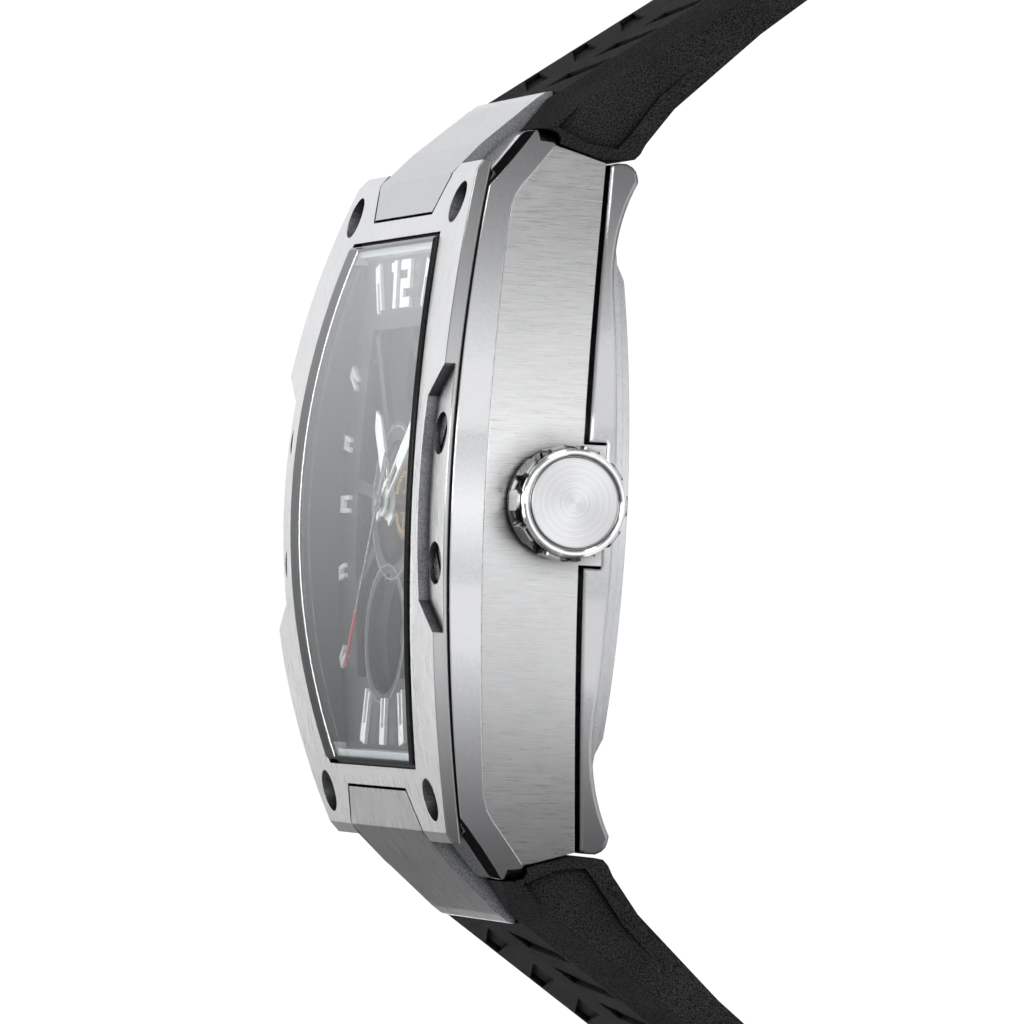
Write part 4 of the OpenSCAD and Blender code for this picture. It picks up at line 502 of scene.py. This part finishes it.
rings = [crystal_ring(-glass_t, 0), crystal_ring(proud - bevel, 0), crystal_ring(proud, bevel)]
count = len(rings[0])
walls, sheets = [], []
for start in (0, count):
    for k in range(count):
        after = (k + 1) % count
        walls.append((start + k, start + after, start + count + after, start + count + k))
for start in (0, 2 * count):
    for k in range(stations):
        opposite = start + count - 1 - k
        sheets.append((start + k, start + k + 1, opposite - 1, opposite))
crystal_mesh = bpy.data.meshes.new("crystal_raised")
crystal_mesh.from_pydata([p for ring in rings for p in ring], [], walls + sheets)
crystal_mesh.materials.append(sapphire)
crystal_mesh.materials.append(ground_edge)
for index, face in enumerate(crystal_mesh.polygons):
    face.material_index = int(index < count)
    face.use_smooth = index >= len(walls)
faces_outward(crystal_mesh)
crystal_mesh.set_sharp_from_angle(angle=math.radians(20))
crystal_front = new_object("crystal_raised", crystal_mesh)
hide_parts("crystal")
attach(crystal_front, "case")


# The flange round the dial: aluminium, bead blasted to a soft even grey. Its long sides are
# painted black as the shadow that lies on them, and only its two ends stay bright. The ring
# that centres the movement in the case is blasted the same way.
def grained_surface(tree, where, tone, metallic=1.0, rough=0.42, grit=0.12):
    """The shader of a blasted, plated or lacquered surface, with grit in millimetres."""
    pits = speckle(tree, where, grit, Detail=2.0)
    colour = toned(tree, tone, ramp(tree, pits, 0.88, 1.1))
    gloss = ramp(tree, pits, rough - 0.05, rough + 0.07)
    return surface(tree, colour, gloss, relief(tree, pits, 0.3, 0.01), metallic)


def grained(name, tone, **settings):
    """A material of one such surface."""
    finish, tree = new_finish(name)
    where = add(tree, "ShaderNodeTexCoord")
    shader = grained_surface(tree, where, tone, **settings)
    add(tree, "ShaderNodeOutputMaterial", Surface=shader)
    return finish


finish_nodes(grained("aluminium_blasted", "8d8e90"), "movement_ring")
flange_end = corners_mm("flange")[1][1]
flange_finish, tree = new_finish("aluminium_blasted_flange")
where = add(tree, "ShaderNodeTexCoord")
pale = grained_surface(tree, where, "d2d3d4")
# Painted shadow: the flange's long sides are black, and its ends keep the pale blasted grey.
spot = add(tree, "ShaderNodeSeparateXYZ", Vector=(where, "Object"))
lengthways = add(tree, "ShaderNodeMath", operation="ABSOLUTE", I0=(spot, "Y"))
shaded_long_side = add(
    tree, "ShaderNodeMath", operation="LESS_THAN", I0=lengthways, I1=(flange_end - 0.98) * mm
)
shadow_gloss = ramp(tree, speckle(tree, where, 0.15), 0.4, 0.6, 0.0, 1.0)
black = add(tree, "ShaderNodeBsdfPrincipled", Base_Color=linear("1d1e20"), Roughness=shadow_gloss)
rim = add(tree, "ShaderNodeMixShader", I0=shaded_long_side, I1=pale, I2=black)
add(tree, "ShaderNodeOutputMaterial", Surface=rim)
finish_nodes(flange_finish, "flange")


# The dial: a pierced brass plate under satin black lacquer, with white lacquered batons
# and numerals, and white hands.
black_lacquer = grained("lacquer_black_satin", "26272a", metallic=0.0, rough=0.4, grit=0.2)
finish_nodes(black_lacquer, "dial")
white_lacquer = grained("lacquer_white_satin", "ecebe6", metallic=0.0, rough=0.38, grit=0.15)
finish_nodes(white_lacquer, "dial_indices", "hour_hand", "minute_hand")


# The printed scales of the dial: white ink, pad printed as a thin ring with strokes across it.
# One geometry tree draws them all, with the ring's size and the number of strokes as inputs.
def geometry_tree(name, **inputs):
    """A geometry tree with those named inputs and one geometry output, and its input node."""
    tree = bpy.data.node_groups.new(name, "GeometryNodeTree")
    for label, kind in inputs.items():
        tree.interface.new_socket(
            label.replace("_", " "), in_out="INPUT", socket_type="NodeSocket" + kind
        )
    tree.interface.new_socket("Geometry", in_out="OUTPUT", socket_type="NodeSocketGeometry")
    return tree, tree.nodes.new("NodeGroupInput")


def joined(tree, *parts):
    """The parts as one geometry."""
    both = tree.nodes.new("GeometryNodeJoinGeometry")
    for part in parts:
        tree.links.new(part.outputs[0], both.inputs[0])
    return both


def ring_of(tree, sizes, count, piece, tilt=0.0):
    """Instances of the piece in a ring round the z axis, each turned outward and tilted."""
    spots = add(
        tree, "GeometryNodeMeshCircle", Vertices=(sizes, count), Radius=(sizes, "Radius")
    )
    parts = add(tree, "ShaderNodeSeparateXYZ", Vector=add(tree, "GeometryNodeInputPosition"))
    turn = add(tree, "ShaderNodeMath", operation="ARCTAN2", I0=(parts, "Y"), I1=(parts, "X"))
    turned = add(tree, "ShaderNodeCombineXYZ", Y=tilt, Z=turn)
    return add(
        tree, "GeometryNodeInstanceOnPoints", Points=spots, Instance=piece, Rotation=turned
    )


def painted_output(tree, sizes, geometry):
    """Ends the tree: real geometry in the finish that is its input."""
    plain = add(tree, "GeometryNodeRealizeInstances", Geometry=geometry)
    painted = add(
        tree, "GeometryNodeSetMaterial", Geometry=plain, Material=(sizes, "Finish")
    )
    add(tree, "NodeGroupOutput", Geometry=painted)


def scale_tree():
    """A ring with strokes across it, round the z axis."""
    tree, sizes = geometry_tree(
        "printed_scale", Radius="Float", Line_Width="Float", Strokes="Int",
        Stroke_Length="Float", Stroke_Width="Float", Ink="Float", Finish="Material",
    )
    path = add(
        tree, "GeometryNodeCurvePrimitiveCircle", Resolution=96, Radius=(sizes, "Radius")
    )
    section = add(
        tree, "GeometryNodeCurvePrimitiveQuadrilateral",
        Width=(sizes, "Line Width"), Height=(sizes, "Ink"),
    )
    line = add(tree, "GeometryNodeCurveToMesh", Curve=path, Profile_Curve=section)
    size = add(
        tree, "ShaderNodeCombineXYZ",
        X=(sizes, "Stroke Length"), Y=(sizes, "Stroke Width"), Z=(sizes, "Ink"),
    )
    stroke = add(tree, "GeometryNodeMeshCube", Size=size)
    strokes = ring_of(tree, sizes, "Strokes", stroke)
    painted_output(tree, sizes, joined(tree, line, strokes))
    return tree


def grown(name, tree, place, **sizes):
    """Grows a geometry tree into one plain mesh object, moved by the matrix place."""
    seed = new_object(name + "_seed", bpy.data.meshes.new(name + "_seed"))
    modifier = seed.modifiers.new("grow", "NODES")
    modifier.node_group = tree
    for item in tree.interface.items_tree:
        if item.in_out == "INPUT":
            modifier[item.identifier] = sizes[item.name.replace(" ", "_")]
    graph = bpy.context.evaluated_depsgraph_get()
    mesh = bpy.data.meshes.new_from_object(seed.evaluated_get(graph), depsgraph=graph)
    bpy.data.objects.remove(seed)
    mesh.name = name
    mesh.transform(place)
    faces_outward(mesh, merge_within=0.001 * mm)
    return new_object(name, mesh)


ink = grained("ink_grey_printed", "8f8f8e", metallic=0.0, rough=0.5, grit=0.1)
ink_t = 0.04
scales = scale_tree()
scale_z = corners_mm("dial")[1][2] + ink_t / 2
for name, centre, radius, strokes, length, width in (
    ("centre_scale", (0, 0), 5.25, 24, 0.5, 0.1),
    ("balance_scale", (-1, -9), 4.75, 30, 0.36, 0.09),
    ("winding_scale", (7.3, -6.2), 4.1, 20, 0.45, 0.1),
):
    printed = grown(
        name, scales, Matrix.Translation(Vector((*centre, scale_z)) * mm), Radius=radius * mm,
        Line_Width=0.1 * mm, Strokes=strokes, Stroke_Length=length * mm,
        Stroke_Width=width * mm, Ink=ink_t * mm, Finish=ink,
    )
    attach(printed, "case")


# The seconds hand: polished rhodium-bright steel. Its last third, from this radius in
# millimetres outward, is dipped in signal red lacquer.
red_from = 8.6
red_tipped, tree = new_finish("steel_red_tipped_hand")
where = add(tree, "ShaderNodeTexCoord")
plain = polished_surface(tree, where, "cfd0d2", rough=0.15)
flat = add(tree, "ShaderNodeVectorMath", operation="MULTIPLY", I0=(where, "Object"), I1=(1, 1, 0))
reach = add(tree, "ShaderNodeVectorMath", operation="LENGTH", I0=flat)
tip = add(
    tree, "ShaderNodeMath", operation="GREATER_THAN", I0=(reach, "Value"), I1=red_from * mm
)
lacquer = add(tree, "ShaderNodeBsdfPrincipled", Base_Color=linear("c8323a"), Roughness=0.35)
ending = add(tree, "ShaderNodeMixShader", I0=tip, I1=plain, I2=lacquer)
add(tree, "ShaderNodeOutputMaterial", Surface=ending)
finish_nodes(red_tipped, "seconds_hand")


# The movement: black plated bridges with fine graining, gilt wheels, bright steel winding
# wheels and lever, ruby jewels, heat-blued springs and screws, and a dark rotor.
black_plating = grained("plating_black_grained", "3a3b3e", rough=0.38)
finish_nodes(black_plating, "mainplate", "barrel_bridge", "train_bridge", "balance_cock")
finish_nodes(grained("plating_dark_rotor", "55565a", rough=0.35), "rotor")
gilt_brass = brushed_steel("brass_gilt", "x", "c8a25c", line=0.06, depth=0.15, rough=0.28)
finish_nodes(
    gilt_brass, "barrel", "second_wheel", "third_wheel", "fourth_wheel", "balance_wheel",
    "minute_wheel", "hour_wheel",
)
fine_steel = brushed_steel("steel_fine_turned", "y", "c2c3c6", line=0.05, depth=0.15, rough=0.24)
finish_nodes(
    fine_steel, "pallet_bridge", "ratchet_wheel", "crown_wheel", "escape_wheel", "pallet_fork",
    "cannon_pinion", "winding_pinion", "winding_stem", "rotor_bearing",
)
blued_steel = grained("steel_heat_blued", "2b3a78", rough=0.25)
finish_nodes(blued_steel, "mainspring", "hairspring", "movement_screws")
finish_nodes(grained("ruby_polished", "b3122c", metallic=0.0, rough=0.12, grit=0.3), "jewels")


# The crown: turned on a lathe, so its face carries fine rings, and a soft cone of light is
# painted on it as a highlight. The rounded ring at its front is polished bright, and its grip
# behind that is painted dark as shade. The tube it screws on to is polished as well.
crown_x = corners_mm("crown")[0][0]
crown_z = sum(corner[2] for corner in corners_mm("winding_stem")) / 2
face_r = 3.08
crown_steel, tree = new_finish("steel_turned_crown")
where = add(tree, "ShaderNodeTexCoord")
centred = add(
    tree, "ShaderNodeVectorMath", operation="SUBTRACT",
    I0=(where, "Object"), I1=(0, 0, crown_z * mm),
)
disc = add(tree, "ShaderNodeVectorMath", operation="MULTIPLY", I0=centred, I1=(0, 1, 1))
radius = add(tree, "ShaderNodeVectorMath", operation="LENGTH", I0=disc)
parts = add(tree, "ShaderNodeSeparateXYZ", Vector=centred)
angle = add(tree, "ShaderNodeMath", operation="ARCTAN2", I0=(parts, "Z"), I1=(parts, "Y"))
groove_place = add(tree, "ShaderNodeCombineXYZ", X=(radius, "Value"))
grooves = add(
    tree, "ShaderNodeTexNoise", Vector=groove_place, Scale=1 / (0.1 * mm), Detail=2.0,
    Roughness=0.6,
)
# Painted highlight: the face's colour rises and falls twice round the axis, a soft cone of light.
shifted = add(tree, "ShaderNodeMath", operation="ADD", I0=product(tree, angle, 2.0), I1=1.1)
cone = add(tree, "ShaderNodeMath", operation="COSINE", I0=shifted)
level = product(tree, ramp(tree, cone, 0.9, 1.08, -1.0, 1.0), ramp(tree, grooves, 0.8, 1.16))
face_colour = painted_crease_shade(tree, toned(tree, "cbcbcc", level), 0.4)
face_gloss = ramp(tree, grooves, 0.34, 0.44)
face_steel = surface(tree, face_colour, face_gloss, relief(tree, grooves, 0.15, 0.01))
rub = speckle(tree, where, 0.6, Detail=3.0)
ahead = add(tree, "ShaderNodeSeparateXYZ", Vector=(where, "Object"))
# Painted shade: the rim behind the polished ring, the grip, is coloured dark.
ring_x = (crown_x + 2.5) * mm
shaded_grip_ramp = ramp(tree, (ahead, "X"), 0.24, 0.86, ring_x, ring_x + 0.1 * mm)
rim_shade = product(tree, ramp(tree, rub, 0.92, 1.04), shaded_grip_ramp)
rim_colour = painted_crease_shade(tree, grey(tree, rim_shade), 0.9, 0.04)
rim_steel = surface(tree, rim_colour, ramp(tree, rub, 0.06, 0.14), rounded_edges(tree, 0.1))
facing = add(
    tree, "ShaderNodeMath", operation="LESS_THAN", I0=(radius, "Value"), I1=face_r * mm
)
crown_mix = add(tree, "ShaderNodeMixShader", I0=facing, I1=rim_steel, I2=face_steel)
add(tree, "ShaderNodeOutputMaterial", Surface=crown_mix)


def grip_tree():
    """Rounded lobes in a ring round the z axis, each lying along it."""
    tree, sizes = geometry_tree(
        "crown_grip", Count="Int", Radius="Float", Length="Float", Width="Float",
        Height="Float", Corner="Float", Finish="Material",
    )
    outline = add(
        tree, "GeometryNodeCurvePrimitiveQuadrilateral",
        Width=(sizes, "Length"), Height=(sizes, "Width"),
    )
    rounded = add(
        tree, "GeometryNodeFilletCurve", mode="POLY", Curve=outline, Count=6,
        Radius=(sizes, "Corner"),
    )
    foot = add(tree, "GeometryNodeFillCurve", mode="NGONS", Curve=rounded)
    block = add(
        tree, "GeometryNodeExtrudeMesh", Mesh=foot, Offset_Scale=(sizes, "Height"),
        Individual=False,
    )
    sole = add(tree, "GeometryNodeFlipFaces", Mesh=foot)
    lobes = ring_of(tree, sizes, "Count", joined(tree, block, sole), tilt=math.pi / 2)
    painted_output(tree, sizes, lobes)
    return tree


# The knob's half section from the hollow over its tube to the middle of its face, as distances
# along and from its axis, with a polished ring and a turned groove round the face.
knob_section = [
    (1.3, 0), (1.3, 1.95), (0, 1.95), (0, 3.62), (0.14, 3.86), (0.5, 3.93), (0.62, 3.84),
    (0.7, 3.36), (2.5, 3.3), (2.56, 3.56), (2.66, 3.7), (2.92, 3.7), (3.06, 3.63), (3.14, 3.5),
    (3.14, 3.34), (3.08, 3.24), (2.94, 3.19), (2.94, 3.11), (3.06, 3.06), (3.1, 2.99),
    (3.115, 1.6), (3.12, 0),
]
steps = 96
points, starts = [], []
for along, radius in knob_section:
    starts.append(len(points))
    for k in range(steps if radius else 1):
        turn = 2 * math.pi * k / steps
        y, z = radius * math.cos(turn), crown_z + radius * math.sin(turn)
        points.append(Vector((crown_x + along, y, z)) * mm)
faces = []
for near, far in zip(starts, starts[1:]):
    for k in range(steps):
        after = (k + 1) % steps
        if near == starts[0]:
            faces.append((near, far + after, far + k))
        elif far == starts[-1]:
            faces.append((near + k, near + after, far))
        else:
            faces.append((near + k, near + after, far + after, far + k))
knob_mesh = bpy.data.meshes.new("crown_knob")
knob_mesh.from_pydata(points, [], faces)
knob_mesh.materials.append(crown_steel)
faces_outward(knob_mesh)
knob_mesh.shade_smooth()
knob_mesh.set_sharp_from_angle(angle=math.radians(24))
knob = new_object("crown_knob", knob_mesh)
grip_middle = Matrix.Translation(Vector((crown_x + 1.62, 0, crown_z)) * mm)
grip = grown(
    "crown_grip", grip_tree(), grip_middle @ Matrix.Rotation(math.pi / 2, 4, "Y"), Count=10,
    Radius=3.25 * mm, Length=1.86 * mm, Width=1.42 * mm, Height=0.66 * mm, Corner=0.34 * mm,
    Finish=crown_steel,
)
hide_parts("crown")
for piece in (knob, grip):
    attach(piece, "crown")
tube_steel = polished_steel("steel_crown_tube", "bfc0c3", rough=0.16)
finish_nodes(tube_steel, "crown_tube", "strap_bars")


# The strap: black fluoro rubber, moulded, with a fine spark-eroded grain whose pale specks
# are painted glints, which give it a dry sheen.
strap_rubber = rubber(
    "rubber_moulded_grained", "1d1d1e", grain=0.12, depth=1.0, rough=0.65, sheen=0.01, spread=1.4
)
finish_nodes(strap_rubber, "strap_top", "strap_bottom", "loop_fixed", "loop_sliding")


# The buckle: polished steel frame, bar and tang, with the same slight waves as the case's
# frames and a little more wear.
buckle_steel = polished_steel("steel_buckle", "c4c5c8", rough=0.12)
finish_nodes(buckle_steel, "buckle_frame", "buckle_tang", "buckle_bar")
